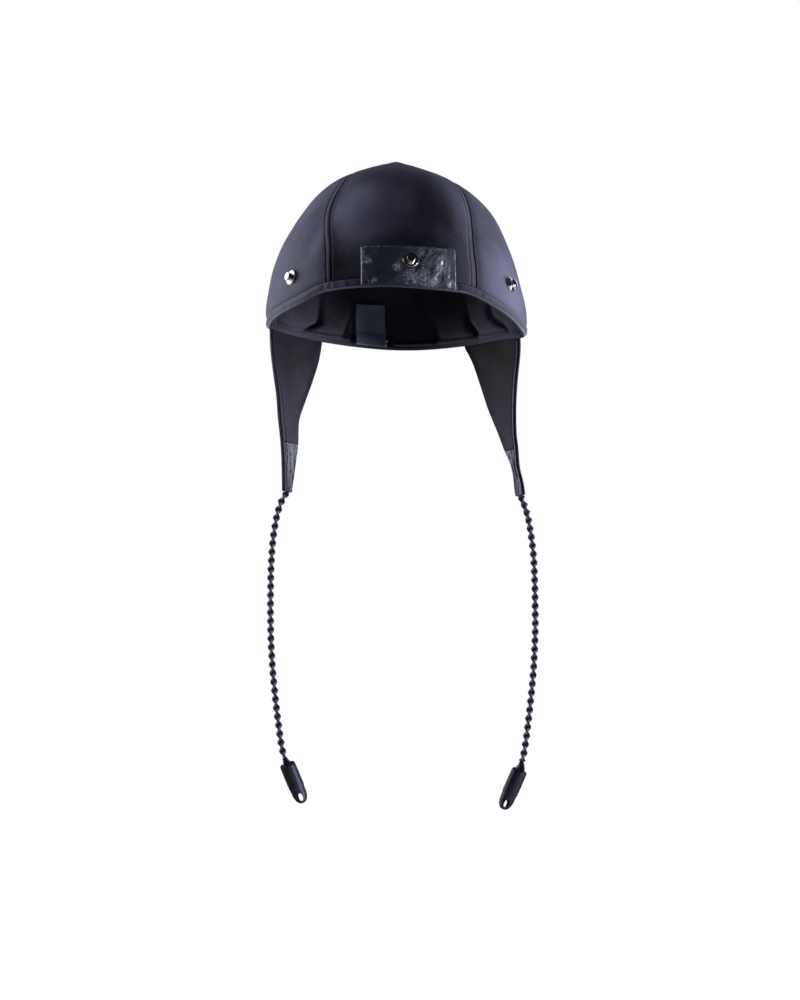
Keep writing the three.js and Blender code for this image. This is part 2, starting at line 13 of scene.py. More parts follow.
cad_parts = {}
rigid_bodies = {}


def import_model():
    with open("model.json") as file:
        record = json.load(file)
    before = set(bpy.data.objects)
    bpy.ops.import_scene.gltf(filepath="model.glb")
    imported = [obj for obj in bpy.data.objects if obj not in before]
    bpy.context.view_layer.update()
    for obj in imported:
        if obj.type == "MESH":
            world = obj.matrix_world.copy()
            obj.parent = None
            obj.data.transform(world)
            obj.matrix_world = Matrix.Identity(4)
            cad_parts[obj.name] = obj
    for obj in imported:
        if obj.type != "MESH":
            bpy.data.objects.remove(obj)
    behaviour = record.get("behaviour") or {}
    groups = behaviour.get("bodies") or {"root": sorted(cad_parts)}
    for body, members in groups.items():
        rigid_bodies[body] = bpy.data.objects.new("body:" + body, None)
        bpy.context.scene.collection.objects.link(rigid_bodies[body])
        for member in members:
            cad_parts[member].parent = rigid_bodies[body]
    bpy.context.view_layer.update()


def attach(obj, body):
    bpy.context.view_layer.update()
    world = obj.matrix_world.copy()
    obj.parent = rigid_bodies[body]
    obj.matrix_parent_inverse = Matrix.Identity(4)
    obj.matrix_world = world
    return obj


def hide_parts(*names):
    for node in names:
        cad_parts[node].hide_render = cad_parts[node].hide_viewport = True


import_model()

MM = 0.001
SEED = 7
BODY = "root"


def table(columns, *rows):
    """A short table as one array for each named column."""
    return dict(zip(columns.split(), np.array(rows, float).T))


def add_object(name, data):
    """An object at the origin, linked to the scene."""
    made = bpy.data.objects.new(name, data)
    bpy.context.scene.collection.objects.link(made)
    return made


# Camera, set near the photograph's viewing angle
CAMERA_AT = (-0.13312, -1.93933, -0.34293)
CAMERA_PITCH, CAMERA_TURN = 6.4, -4.0
LENS, SENSOR = 100.0, 36.0

camera_data = bpy.data.cameras.new("camera")
camera_data.lens = LENS
camera_data.sensor_width = SENSOR
camera = add_object("camera", camera_data)
camera.location = CAMERA_AT
camera.rotation_euler = (math.radians(90 + CAMERA_PITCH), 0, math.radians(CAMERA_TURN))
bpy.context.scene.camera = camera

# Cloth thicknesses and gaps, as in the CAD source
SHELL, LINING_CLOTH, PATCH_CLOTH, TAG_CLOTH, FLAP_CLOTH = 2.0, 1.0, 1.1, 1.0, 3.2
GAP, LINING_GAP, TAG_GAP, SEAM_GAP = 0.35, 0.6, 0.75, 0.3

# The crown: a row for each level, with its half width and how far it leans to one side
DEPTH_RATIO = 1.1
MEAN_RADIUS = 97  # of the opening, for widths along it
CROWN = table(
    "height half_width lean",
    (-14, 92.2, 0), (0, 92.4, 0), (12, 92.0, -0.4), (26, 89.4, -1.1),
    (40, 85.9, -1.5), (54, 80.6, -1.4), (67, 73.8, -0.9), (79, 66.0, -0.8),
    (89, 57.4, -1.2), (97, 48.2, -1.8), (103, 38.0, -1.9), (108, 26.8, -1.2),
    (112, 16.8, -0.5), (115, 8.5, -0.2), (117, 3.6, 0), (118, 0, 0),
)
PANEL_TIP_HALF_WIDTH = 1.3

# The seams: azimuth of the front seam on each side by height, and of the side seam on both sides
SEAMS = table(
    "height front_left front_right side",
    (-14, 32, 32, 107), (12, 32.2, 32.6, 107), (26, 32.9, 34.0, 107.4), (40, 34.1, 35.0, 108),
    (54, 37.3, 37.4, 109), (67, 41.0, 40.8, 111), (79, 43.1, 45.0, 113), (89, 43.9, 51.0, 115),
    (97, 46.4, 59.0, 118), (105, 51.5, 66.0, 121), (118, 56.0, 70.0, 123),
)

# Soft swells of the shell: centre, reach along and across, the slope of "along" in degrees and rise
FORM_COLUMNS = "azimuth height along across slope rise"
SWELLS = table(
    FORM_COLUMNS,
    (-68, 97, 20, 12, 0, 0.5), (88, 78, 32, 17, 0, 1.5), (-14, 79, 22, 11, -60, 1.0),
    (24, 74, 24, 11, -65, 0.9), (-60, 64, 18, 12, 50, 1.1), (62, 56, 24, 14, -60, 0.8),
    (-135, 60, 26, 14, 60, 1.1), (128, 60, 26, 14, -60, 1.0),
)

# The rim: height of the hem's lower edge by azimuth, 0 at the front and 90 at +X
RIM = table(
    "azimuth height",
    (-180, -1.5), (-150, 1.0), (-125, 1.5), (-105, 0), (-90, -3.6), (-75, -1.6), (-62, 0.4),
    (-50, 3.2), (-40, 7.4), (-28, 8.8), (-8, 8.8), (12, 7.4), (27, 6.6), (36, 3.6), (46, -0.6),
    (58, -5.0), (70, -8.6), (85, -8.8), (100, -5.8), (115, -2.6), (140, -1.6), (165, -2.0),
    (180, -1.5),
)
HEM_HEIGHT = 6.0

# The hem's section, from its top outside round its lower edge to its top inside: depth into the hat
# and height above its lower edge
HEM_SECTION = table(
    "depth rise",
    (1.1, 6.15), (0.45, 5.6), (0.0, 4.4), (0.05, 2.4), (0.9, 0.8), (2.2, 0.02), (3.5, 0.25),
    (4.6, 1.4), (4.95, 3.4), (4.6, 5.2), (3.9, 6.2),
)

# The flaps: front and rear edge azimuth and outward splay by height
FLAP_WALL = 0.5
FLAP_ROWS = {
    "left": table(
        "height front rear splay",
        (0, 103.4, 146.8, 0.5), (-14, 106, 145, 0.7), (-30, 110.4, 141.2, 0.8),
        (-45, 114.2, 136.8, 0.8), (-60, 116.4, 132.8, 1.1), (-77, 119.4, 132.4, 1.4),
        (-94, 121, 130.6, 1.7), (-112, 121.8, 128.4, 2.0),
    ),
    "right": table(
        "height front rear splay",
        (-3, 99.5, 141.6, 0.2), (-15, 101.6, 137.6, 1.2), (-34, 106.4, 133.1, 2.1),
        (-51, 109.2, 129.2, 3.1), (-70, 110.4, 123.4, 4.2), (-83, 109.8, 119.6, 5.1),
        (-96, 110.0, 115.4, 6.4), (-108, 108.0, 114.8, 7.6), (-116, 107.0, 114.0, 8.0),
    ),
}
SIDES = {"left": -1, "right": 1}
SLEEVE_TOP = {"left": -77.0, "right": -83.0}

# The cords' routes from the sleeve's end down to the toggle
CORD_ROUTES = {
    "left": [
        (-76.2, 58.4, -112.9), (-76.5, 58.4, -114.8), (-79.2, 58.3, -119.6),
        (-82.0, 58.2, -127.8), (-83.9, 58.0, -137.2), (-85.4, 58.0, -148.1),
        (-86.3, 58.0, -159.7), (-86.8, 58.0, -172.0), (-86.9, 58.0, -185.0),
        (-86.9, 58.0, -198.7), (-86.7, 58.0, -213.2), (-86.1, 58.0, -227.5),
        (-85.1, 58.0, -241.9), (-83.7, 58.0, -256.2), (-82.1, 58.0, -270.6),
        (-80.4, 58.0, -283.4), (-78.6, 58.0, -295.6), (-76.6, 58.0, -304.0),
    ],
    "right": [
        (92.7, 37.4, -116.9), (93.0, 37.7, -118.8), (95.4, 40.8, -123.4),
        (98.3, 45.0, -131.0), (100.3, 48.2, -139.8), (101.8, 49.7, -149.8),
        (102.9, 50.0, -160.7), (103.4, 50.0, -173.0), (103.7, 50.0, -186.1),
        (103.8, 50.0, -199.8), (103.7, 50.0, -214.3), (103.1, 50.0, -228.7),
        (102.2, 50.0, -243.1), (100.8, 50.0, -257.5), (99.2, 50.0, -271.8),
        (97.6, 50.0, -284.7), (95.9, 50.0, -296.9), (93.8, 50.0, -306.9),
    ],
}


# Curves read from the tables
def smooth(values, at):
    """A column as a smooth curve, read at fractional rows."""
    at = np.asarray(at, float)
    i = np.clip(np.floor(at).astype(int), 0, len(values) - 2)

    def pick(k):
        return values[np.clip(k, 0, len(values) - 1)]

    t = at - i
    before = (pick(i + 1) - pick(i - 1)) / 2
    after = (pick(i + 2) - pick(i)) / 2
    slow = t * t * (3 - 2 * t)
    curl = t * (1 - t)
    return pick(i) * (1 - slow) + pick(i + 1) * slow + curl * ((1 - t) * before - t * after)


def row_of(values, wanted):
    """The fractional row at which a steadily rising or falling column has a value."""
    fine = np.linspace(0, len(values) - 1, 60 * len(values))
    found = smooth(values, fine)
    if found[-1] < found[0]:
        fine, found = fine[::-1], found[::-1]
    return np.interp(wanted, found, fine)


def look_up(rows, key, value, column):
    return smooth(rows[column], row_of(rows[key], value))


def mix(a, b, t):
    return a + (b - a) * t


def stacked(*parts):
    """Arrays that fit one another as the last axis of one array."""
    return np.stack(np.broadcast_arrays(*parts), -1)


def step(low, high, value):
    """0 below low, 1 above high and smooth between."""
    t = np.clip((np.asarray(value, float) - low) / (high - low), 0, 1)
    return t * t * (3 - 2 * t)


def wrapped(azimuth):
    """An azimuth from -180 up to 180."""
    return (np.asarray(azimuth, float) + 180) % 360 - 180


def level_of(height):
    return row_of(CROWN["height"], height)


PANEL_TIP = float(row_of(CROWN["half_width"], PANEL_TIP_HALF_WIDTH))


def rim_height(azimuth):
    return look_up(RIM, "azimuth", wrapped(azimuth), "height")


def on_crown(azimuth, level):
    angle = np.radians(azimuth)
    half = smooth(CROWN["half_width"], level)
    x = smooth(CROWN["lean"], level) + half * np.sin(angle)
    y = -half * DEPTH_RATIO * np.cos(angle)
    return stacked(x, y, smooth(CROWN["height"], level))


def unit(vectors):
    length = np.linalg.norm(vectors, axis=-1, keepdims=True)
    return vectors / np.maximum(length, 1e-9)


def crown_normal(azimuth, level):
    azimuth, level = np.broadcast_arrays(np.asarray(azimuth, float), np.asarray(level, float))
    around = on_crown(azimuth + 1, level) - on_crown(azimuth - 1, level)
    up = on_crown(azimuth, level + 0.02) - on_crown(azimuth, level - 0.02)
    return unit(np.cross(around, up))


def crown_point(azimuth, level, depth):
    """A point at a depth under the crown's outer face."""
    return on_crown(azimuth, level) - crown_normal(azimuth, level) * np.asarray(depth)[..., None]


def tilted(east, north, slope):
    """A place's distances along and beside a line that rises at a slope in degrees."""
    tilt = math.radians(slope)
    along = east * math.cos(tilt) + north * math.sin(tilt)
    return along, north * math.cos(tilt) - east * math.sin(tilt)


def oval(east, north, reach_along, reach_across, slope, rise):
    """The rise of one soft oval form at a place east and north of its centre."""
    along, across = tilted(east, north, slope)
    p, q = along / reach_along, across / reach_across
    return rise * np.exp(-(p * p + q * q))


def forms(rows, azimuth, height):
    """The rise of soft oval forms at a place on the crown."""
    half = look_up(CROWN, "height", height, "half_width")
    total = np.zeros(np.broadcast_shapes(np.shape(azimuth), np.shape(height)))
    for centre, level, *form in zip(*rows.values()):
        east = np.radians(wrapped(azimuth - centre)) * half
        total = total + oval(east, height - level, *form)
    return total


def shell_point(azimuth, level, depth):
    """A point at a depth under the shell's outer face, swells included."""
    return crown_point(azimuth, level, depth - forms(SWELLS, azimuth, smooth(CROWN["height"], level)))


def rolled(distance, radius):
    """How far a face sinks near an edge that is rolled to a radius."""
    inside = np.clip(radius - np.asarray(distance, float), 0, radius)
    return radius - np.sqrt(np.maximum(radius * radius - inside * inside, 0))


def groove(distance, at, half_width, depth):
    """A soft furrow along a line at a distance from an edge."""
    return depth * np.exp(-(((distance - at) / half_width) ** 2))


def waves(seed, points, size, count=7):
    """Soft noise from a few random waves, about -1 to 1, whose crests are size millimetres apart."""
    random = np.random.default_rng(SEED + seed)
    total = np.zeros(points.shape[:-1])
    for _ in range(count):
        direction = unit(random.normal(size=3))
        pace = 2 * math.pi / (size * random.uniform(0.7, 1.5))
        total += np.sin(points @ direction * pace + random.uniform(0, 2 * math.pi))
    return total / math.sqrt(count)


def circle(sides):
    """The angles of evenly spaced places round a circle."""
    return np.arange(sides) * 2 * math.pi / sides


def run_of(points):
    """How far along a line each of its points lies."""
    return np.concatenate([[0], np.cumsum(np.linalg.norm(np.diff(points, axis=0), axis=1))])


def read_line(spots, run, points):
    """The places on a line at some spots of its run."""
    return np.stack([np.interp(spots, run, column) for column in points.T], -1)


def ripples(points, *kinds):
    """Soft noise of several kinds together, each given by its seed, size and rise."""
    return sum(waves(seed, points, size) * rise for seed, size, rise in kinds)


# Meshes
def make_object(name, points, faces, cloth=None, body=BODY):
    """An object at the origin from points in millimetres, with cloth, a place on the flat cloth in
    millimetres for each point, as its UV map."""
    mesh = bpy.data.meshes.new(name)
    mesh.from_pydata((np.asarray(points, float) * MM).tolist(), [], faces)
    if cloth is not None:
        layer = mesh.uv_layers.new(name="cloth")
        corners = np.empty(len(mesh.loops), int)
        mesh.loops.foreach_get("vertex_index", corners)
        layer.data.foreach_set("uv", (np.asarray(cloth, float)[corners] * MM * 10).ravel())
    shape = bmesh.new()
    shape.from_mesh(mesh)
    bmesh.ops.remove_doubles(shape, verts=shape.verts, dist=1e-6)
    bmesh.ops.recalc_face_normals(shape, faces=shape.faces)
    for face in shape.faces:
        face.smooth = True
    shape.to_mesh(mesh)
    shape.free()
    made = add_object(name, mesh)
    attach(made, body)
    return made


def dress(made, material, slot, *nodes):
    """Gives a piece its material, and hides the nodes whose solids it replaces. The slot is not used."""
    made.data.materials.append(material)
    if nodes:
        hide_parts(*nodes)
    return made


def joined(parts):
    """The points and faces of many small meshes as one."""
    all_points, all_faces, count = [], [], 0
    for points, faces in parts:
        all_points.append(points)
        all_faces += [[i + count for i in face] for face in faces]
        count += len(points)
    return np.concatenate(all_points), all_faces


def quads(a, b, c, d):
    return np.stack([a, b, c, d], -1).reshape(-1, 4)


def wall_faces(columns, rows, closed):
    """The faces of a closed wall whose outer grid comes first and whose inner grid follows."""
    index = np.arange(columns * rows).reshape(columns, rows)
    here = index if closed else index[:-1]
    after = np.roll(index, -1, 0) if closed else index[1:]
    other = columns * rows
    faces = [
        quads(here[:, :-1], after[:, :-1], after[:, 1:], here[:, 1:]),
        other + quads(after[:, :-1], here[:, :-1], here[:, 1:], after[:, 1:]),
        quads(after[:, 0], here[:, 0], here[:, 0] + other, after[:, 0] + other),
        quads(here[:, -1], after[:, -1], after[:, -1] + other, here[:, -1] + other),
    ]
    if not closed:
        for edge, turn in ((index[0], 1), (index[-1], -1)):
            ring = [edge[:-1], edge[1:], edge[1:] + other, edge[:-1] + other][::turn]
            faces.append(quads(*ring))
    return np.concatenate(faces).tolist()


def make_wall(name, outer, inner, closed=False, cloth=None):
    """A closed solid between two faces, each a grid of points (across, up)."""
    points = np.concatenate([outer.reshape(-1, 3), inner.reshape(-1, 3)])
    if cloth is not None:
        cloth = np.concatenate([cloth.reshape(-1, 2)] * 2)
    return make_object(name, points, wall_faces(*outer.shape[:2], closed), cloth)


def tube_faces(rings, sides, ends=True):
    index = np.arange(rings * sides).reshape(rings, sides)
    turned = np.roll(index, -1, 1)
    faces = quads(index[:-1], turned[:-1], turned[1:], index[1:]).tolist()
    if ends:
        faces += [index[0][::-1].tolist(), index[-1].tolist()]
    return faces


def lathe(profile, sides):
    """Points and faces of a body turned round Z from (radius, z) rows that start and end on the axis."""
    angles = circle(sides)
    radius, z = np.array(profile, float).T
    ring = np.stack([np.cos(angles), np.sin(angles)], -1)
    points = np.concatenate(
        [radius[:, None, None] * ring, np.broadcast_to(z[:, None, None], (len(z), sides, 1))], -1
    )
    return points.reshape(-1, 3), tube_faces(len(profile), sides, ends=False)


def dense(rows, steps):
    """A profile's rows as a smooth line with a number of steps between each two."""
    at = np.linspace(0, len(rows) - 1, steps * (len(rows) - 1) + 1)
    return np.stack([smooth(column, at) for column in np.array(rows, float).T], -1)


def placed(points, base, axis):
    """Points moved so that Z becomes axis and the origin becomes base."""
    turn = Vector((0, 0, 1)).rotation_difference(Vector(axis)).to_matrix()
    return np.asarray(points) @ np.array(turn).T + np.asarray(base)


STITCH = {"length": 2.3, "pitch": 3.1, "radius": 0.24, "sides": 6, "rings": 5, "look_ahead": 0.5}


def stitches(name, lines, material):
    """Rows of thread stitches. Each line is (points, normals) along the cloth."""
    parts = []
    angles = circle(STITCH["sides"])
    swing = np.linspace(0, math.pi, STITCH["rings"])
    faces = tube_faces(STITCH["rings"], STITCH["sides"], ends=False)
    for points, normals in lines:
        run = run_of(points)
        spots = np.arange(STITCH["pitch"] / 2, run[-1], STITCH["pitch"])
        centre = read_line(spots, run, points)
        normal = unit(read_line(spots, run, normals))
        ahead = read_line(spots + STITCH["look_ahead"], run, points)
        along = unit(ahead - read_line(spots - STITCH["look_ahead"], run, points))
        for c, t, n, s in zip(centre, along, normal, np.cross(along, normal)):
            ring = np.outer(np.cos(angles), n) + np.outer(np.sin(angles), s)
            reach = -np.cos(swing)[:, None, None] * t * STITCH["length"] / 2
            dip = -(1 - np.sin(swing))[:, None, None] * n * STITCH["radius"]
            thick = (np.sin(swing) * STITCH["radius"])[:, None, None]
            parts.append(((c + reach + dip + thick * ring).reshape(-1, 3), faces))
    return dress(make_object(name, *joined(parts)), material, "shell_cloth")


# Materials
def new_material(name, color, roughness):
    made = bpy.data.materials.new(name)
    made.use_nodes = True
    shader = made.node_tree.nodes["Principled BSDF"]
    shader.inputs["Base Color"].default_value = (*color, 1)
    shader.inputs["Roughness"].default_value = roughness
    return made


def shade(color, factor):
    return (*[c * factor for c in color], 1)


class Nodes:
    """Short ways to add nodes to one material."""

    def __init__(self, made):
        self.made = made
        self.tree = made.node_tree
        self.shader = self.tree.nodes["Principled BSDF"]
        self.uv = self.add("ShaderNodeUVMap", uv_map="cloth").outputs["UV"]
        self.place = self.add("ShaderNodeTexCoord").outputs["Object"]

    def add(self, kind, **settings):
        node = self.tree.nodes.new(kind)
        for name, value in settings.items():
            setattr(node, name, value)
        return node

    def feed(self, node, **inputs):
        """Links or sets a node's inputs, given by name or, after _, by number."""
        for name, value in inputs.items():
            socket = node.inputs[int(name[1:])] if name[0] == "_" else node.inputs[name.replace("_", " ")]
            if isinstance(value, bpy.types.NodeSocket):
                self.tree.links.new(value, socket)
            else:
                socket.default_value = value
        return node

    def paint(self, **inputs):
        """Feeds the shader and returns the material."""
        self.feed(self.shader, **inputs)
        return self.made

    def cover(self, share, color):
        """Blends the color that the shader has toward another and returns the material."""
        under = self.shader.inputs["Base Color"].links[0].from_socket
        return self.paint(Base_Color=self.blend(share, under, (*color, 1)))

    def scaled(self, source, factors, turn=0.0):
        """A place scaled on each axis after it is turned about Z."""
        node = self.add("ShaderNodeMapping", vector_type="POINT")
        self.feed(node, Vector=source, Scale=factors, Rotation=(0, 0, math.radians(turn)))
        return node.outputs[0]

    def axes(self, source):
        """A place's X, Y and Z."""
        return self.feed(self.add("ShaderNodeSeparateXYZ"), _0=source).outputs

    def vectors(self, operation, a, b):
        """One number from two places or directions."""
        node = self.add("ShaderNodeVectorMath", operation=operation)
        return self.feed(node, _0=a, _1=b).outputs["Value"]

    def noise(self, source, scale, detail=3.0, roughness=0.5):
        node = self.add("ShaderNodeTexNoise")
        self.feed(node, Vector=source, Scale=scale, Detail=detail, Roughness=roughness)
        return node.outputs["Fac"]

    def wave(self, source, scale, distortion=0.0, direction="X"):
        node = self.add("ShaderNodeTexWave", wave_type="BANDS", bands_direction=direction)
        self.feed(node, Vector=source, Scale=scale, Distortion=distortion, Detail_Scale=1.5)
        return node.outputs["Fac"]

    def math(self, operation, a, b=0.0, clamp=False):
        node = self.add("ShaderNodeMath", operation=operation, use_clamp=clamp)
        return self.feed(node, _0=a, _1=b).outputs[0]

    def spread(self, value, low, high, to_low, to_high):
        node = self.add("ShaderNodeMapRange", clamp=True)
        return self.feed(node, _0=value, _1=low, _2=high, _3=to_low, _4=to_high).outputs[0]

    def blend(self, share, a, b):
        node = self.add("ShaderNodeMix", data_type="RGBA")
        return self.feed(node, _0=share, _6=a, _7=b).outputs[2]

    def tinted(self, color, tone, share=0.5, most=2.0):
        """A color made darker or lighter by a tone."""
        return self.blend(self.math("MULTIPLY", tone, share), shade(color, 0.0), shade(color, most))

    def bump(self, height, distance, strength=1.0, **under):
        """Small relief over another one, which is given as Normal."""
        node = self.add("ShaderNodeBump")
        return self.feed(node, Strength=strength, Distance=distance, Height=height, **under).outputs[0]


# One unit of the cloth map is 100 mm. Threads, ribs and strands are given by the wave texture's scale.
MAP_UNIT = 100
CLOTH_SPECULAR, CLOTH_TINT = 0.08, (0.7, 0.72, 1.0, 1)


def woven(name, color, threads=210, rough=0.8, sheen=0.03, fleck=0.22, spread=0.28, tones=(),
          outside=None):
    """Fine plain weave: two crossed sets of threads, faint blotches of tone and a little lint.

    Tones lists places of painted light and shade: where they are, how far they reach and how much lighter or
    darker they are. Outside is the color of the side that faces away from the head, which has no such places.
    """
    n = Nodes(new_material(name, color, rough))
    weave = n.math("MULTIPLY", n.wave(n.uv, threads, 0.5), n.wave(n.uv, threads * 0.92, 0.5, "Y"))
    cloud = n.noise(n.place, 34.0, 5.0, 0.62)
    slub = n.math("ADD", n.noise(n.scaled(n.uv, (6, 60, 1)), 3.0, 2.0, 0.6),
                  n.noise(n.scaled(n.uv, (60, 6, 1)), 3.0, 2.0, 0.6))
    plain = n.math("ADD", n.spread(cloud, 0.3, 0.7, 1 - spread, 1 + spread),
                   n.spread(weave, 0, 1, -fleck, fleck))
    plain = n.math("ADD", plain, n.spread(slub, 0.75, 1.25, -fleck, fleck))
    tone = plain
    for centre, reach, change in tones:
        away = n.vectors("DISTANCE", n.place, centre)
        tone = n.math("ADD", tone, n.spread(away, 0.0, reach, change, 0.0))
    bright = n.tinted(color, tone)
    if outside:
        normal = n.add("ShaderNodeNewGeometry").outputs["Normal"]
        facing = n.vectors("DOT_PRODUCT", n.scaled(n.place, (1, 1, 0)), normal)
        bright = n.blend(n.spread(facing, -0.01, 0.01, 0.0, 1.0), bright, n.tinted(outside, plain))
    soft = n.bump(n.noise(n.place, 120.0, 2.0), 0.00008, 0.4)
    return n.paint(
        Base_Color=bright, Roughness=n.spread(cloud, 0.3, 0.7, rough - 0.05, rough + 0.05),
        Normal=n.bump(weave, 0.00005, 0.6, Normal=soft), Sheen_Weight=sheen, Sheen_Roughness=0.5,
        Sheen_Tint=CLOTH_TINT, Specular_Tint=CLOTH_TINT, Specular_IOR_Level=CLOTH_SPECULAR,
    )


def edged(made, dark, widths, foot=False):
    """Paints shade along an edge: darkens a cloth where the map's X is the distance from that edge, and Y,
    with foot, the distance from the foot."""
    n = Nodes(made)
    rough = n.shader.inputs["Roughness"].links[0].from_socket
    across, up, _z = n.axes(n.uv)
    distance = n.math("MINIMUM", across, up) if foot else across
    band = n.spread(distance, widths[0] / MAP_UNIT, widths[1] / MAP_UNIT, 1.0, 0.0)
    n.paint(Roughness=n.math("MAXIMUM", rough, n.math("MULTIPLY", band, 0.95)))
    return n.cover(band, dark)


def painted_highlight_line(made, light, at, half_width):
    """Paints a highlight: lightens a cloth along a line, where the map's Y is at."""
    n = Nodes(made)
    away = n.math("ABSOLUTE", n.math("SUBTRACT", n.axes(n.uv)[1], at / MAP_UNIT))
    return n.cover(n.spread(away, 0.3 * half_width / MAP_UNIT, half_width / MAP_UNIT, 1.0, 0.0), light)


def painted_highlight_patches(made, light, places):
    """Paints highlights onto a cloth: lightens it in ragged patches, each given by its X, its Z and how far
    it reaches.
    """
    n = Nodes(made)
    ragged = n.spread(n.noise(n.place, 520.0, 4.0, 0.75), 0.42, 0.62, 0.0, 1.0)
    total = 0.0
    for x, z, reach in places:
        away = n.vectors("DISTANCE", n.scaled(n.place, (1, 0, 1)), (x, 0, z))
        total = n.math("ADD", total, n.spread(away, 0.3 * reach, reach, 1.0, 0.0))
    return n.cover(n.math("MULTIPLY", total, ragged, True), light)


def twill(name, color, rough, gloss, ribs=20.9, turn=65.0, streak=(1, 1)):
    """Glossy twill: slanting ribs, each cut into short floats, with brighter and smoother patches."""
    n = Nodes(new_material(name, color, rough[1]))
    rib = n.wave(n.scaled(n.uv, (1, 1, 1), turn), ribs, 0.8)
    floats = n.wave(n.scaled(n.uv, (1, 1, 1), turn + 62), ribs * 3.1, 0.8)
    grit = n.noise(n.scaled(n.uv, (60, 60, 1)), 4.0, 3.0, 0.65)
    relief = n.math("ADD", rib, n.math("MULTIPLY", floats, 0.2))
    relief = n.math("ADD", relief, n.math("MULTIPLY", grit, 0.35))
    patches = n.noise(n.scaled(n.uv, (*streak, 1)), 14.0, 4.0, 0.65)
    tone = n.math("ADD", n.spread(rib, 0, 1, 0.25, 1.65), n.spread(patches, 0.45, 0.68, -0.2, 0.9))
    tone = n.math("ADD", tone, n.spread(grit, 0.4, 0.7, -0.25, 0.35))
    return n.paint(
        Base_Color=n.tinted(color, tone, 0.4, 2.5), Normal=n.bump(relief, 0.00016, 0.8),
        Roughness=n.spread(patches, 0.36, 0.64, rough[1], rough[0]), Specular_IOR_Level=gloss,
        Specular_Tint=CLOTH_TINT,
    )


def braided(name, color):
    """A flat plait: two crossed sets of slanting strands with fine fibres along them."""
    n = Nodes(new_material(name, color, 0.6))
    one, two = [n.wave(n.scaled(n.uv, (1, 1, 1), turn), 45, 0.2) for turn in (38, -38)]
    plait = n.math("MAXIMUM", one, two)
    fibre = n.noise(n.scaled(n.uv, (400, 60, 1)), 3.0, 2.0, 0.6)
    tone = n.math("MULTIPLY", n.spread(plait, 0.3, 1, 0.6, 1.15), n.spread(fibre, 0.3, 0.7, 0.8, 1.15))
    relief = n.math("ADD", plait, n.math("MULTIPLY", fibre, 0.4))
    return n.paint(
        Base_Color=n.tinted(color, tone, 0.6, 1.7), Normal=n.bump(relief, 0.00015, 0.7),
        Roughness=n.spread(fibre, 0.3, 0.7, 0.75, 0.9), Specular_Tint=CLOTH_TINT,
        Specular_IOR_Level=CLOTH_SPECULAR,
    )


def satin(name, color):
    """Satin ribbon: long fine floats across its width."""
    n = Nodes(new_material(name, color, 0.36))
    floats = n.noise(n.scaled(n.uv, (30, 420, 1)), 4.0, 2.0, 0.6)
    cloud = n.noise(n.place, 60.0, 3.0)
    tone = n.math("ADD", n.spread(floats, 0.3, 0.7, 0.7, 1.3), n.spread(cloud, 0.35, 0.65, -0.15, 0.15))
    return n.paint(
        Base_Color=n.tinted(color, tone), Roughness=n.spread(floats, 0.3, 0.7, 0.28, 0.46),
        Normal=n.bump(n.wave(n.uv, 260, 0.3, "Y"), 0.00005, 0.6),
    )


def moulded(name, satin_color, dark_color, grain):
    """Moulded plastic of two kinds: a satin half where the map's X is low, a rough dark half beyond."""
    n = Nodes(new_material(name, satin_color, 0.4))
    fine = n.noise(n.place, 2600.0, 3.0, 0.6)
    marks = n.noise(n.place, 240.0, 4.0, 0.65)
    border = n.math("ADD", n.axes(n.uv)[0], n.spread(marks, 0.3, 0.7, -0.004, 0.004))
    half = n.spread(border, 0.0, 0.022, 0.0, 1.0)
    rough = n.math("ADD", n.spread(half, 0, 1, 0.36, 0.62), n.spread(marks, 0.35, 0.65, -0.05, 0.08))
    bright = n.blend(n.spread(marks, 0.3, 0.7, 0.3, 0.7), shade(satin_color, 0.8), shade(satin_color, 1.2))
    n.paint(Base_Color=bright, Roughness=rough, Normal=n.bump(fine, grain, 0.8), Specular_Tint=CLOTH_TINT)
    return n.cover(half, dark_color)


def chrome(name):
    n = Nodes(new_material(name, (0.82, 0.83, 0.86), 0.1))
    marks = n.noise(n.place, 900.0, 3.0, 0.6)
    tint = n.blend(n.spread(marks, 0.3, 0.7, 0, 1), (0.72, 0.73, 0.77, 1), (0.9, 0.9, 0.92, 1))
    return n.paint(Base_Color=tint, Roughness=n.spread(marks, 0.35, 0.7, 0.06, 0.14), Metallic=1.0)


# Painted shade in the shell's seams and at its foot, and along the patch's left edge
EDGE_PAINTED_SHADE = (0.006, 0.006, 0.009)
# Painted light and shade on the shell: lighter and darker places, where they are, how far they reach, and by
# how much
SHELL_PAINTED_LIGHT_AND_SHADE = [
    ((-0.022, -0.080, 0.070), 0.034, 2.6), ((-0.038, -0.092, 0.050), 0.020, 1.2),
    ((-0.046, -0.088, 0.025), 0.022, -0.9), ((0.074, -0.066, 0.016), 0.040, 1.6),
    ((0.012, -0.098, 0.066), 0.020, -0.5),
]
SHELL_COLOR = (0.031, 0.031, 0.054)
SHELL_LOOK = edged(woven("shell_cloth", SHELL_COLOR, tones=SHELL_PAINTED_LIGHT_AND_SHADE), EDGE_PAINTED_SHADE, (0.25, 0.8), foot=True)
# A painted highlight along the hem's lower edge
HEM_LIP, HEM_HIGHLIGHT_COLOR = (6.4, 0.9), (0.10, 0.10, 0.145)
HEM_LOOK = painted_highlight_line(woven("hem_cloth", (0.032, 0.032, 0.052)), HEM_HIGHLIGHT_COLOR, *HEM_LIP)
LINING_LOOK = woven("lining_cloth", (0.032, 0.033, 0.048), 190)
# Painted shade along the front edge of each flap and sleeve: where it fades out, from full to none; the
# furrow lies at its outer end
EDGE_BAND = {"left": (3.6, 5.0), "right": (2.4, 3.4)}
FLAP_EDGE_PAINTED_SHADE = (0.022, 0.022, 0.036)
# Painted shade: the flaps' inner faces are darker than the shell cloth, the right one darker than the left
FLAP_INSIDE_PAINTED_SHADE = {"left": (0.011, 0.011, 0.021), "right": (0.006, 0.006, 0.014)}
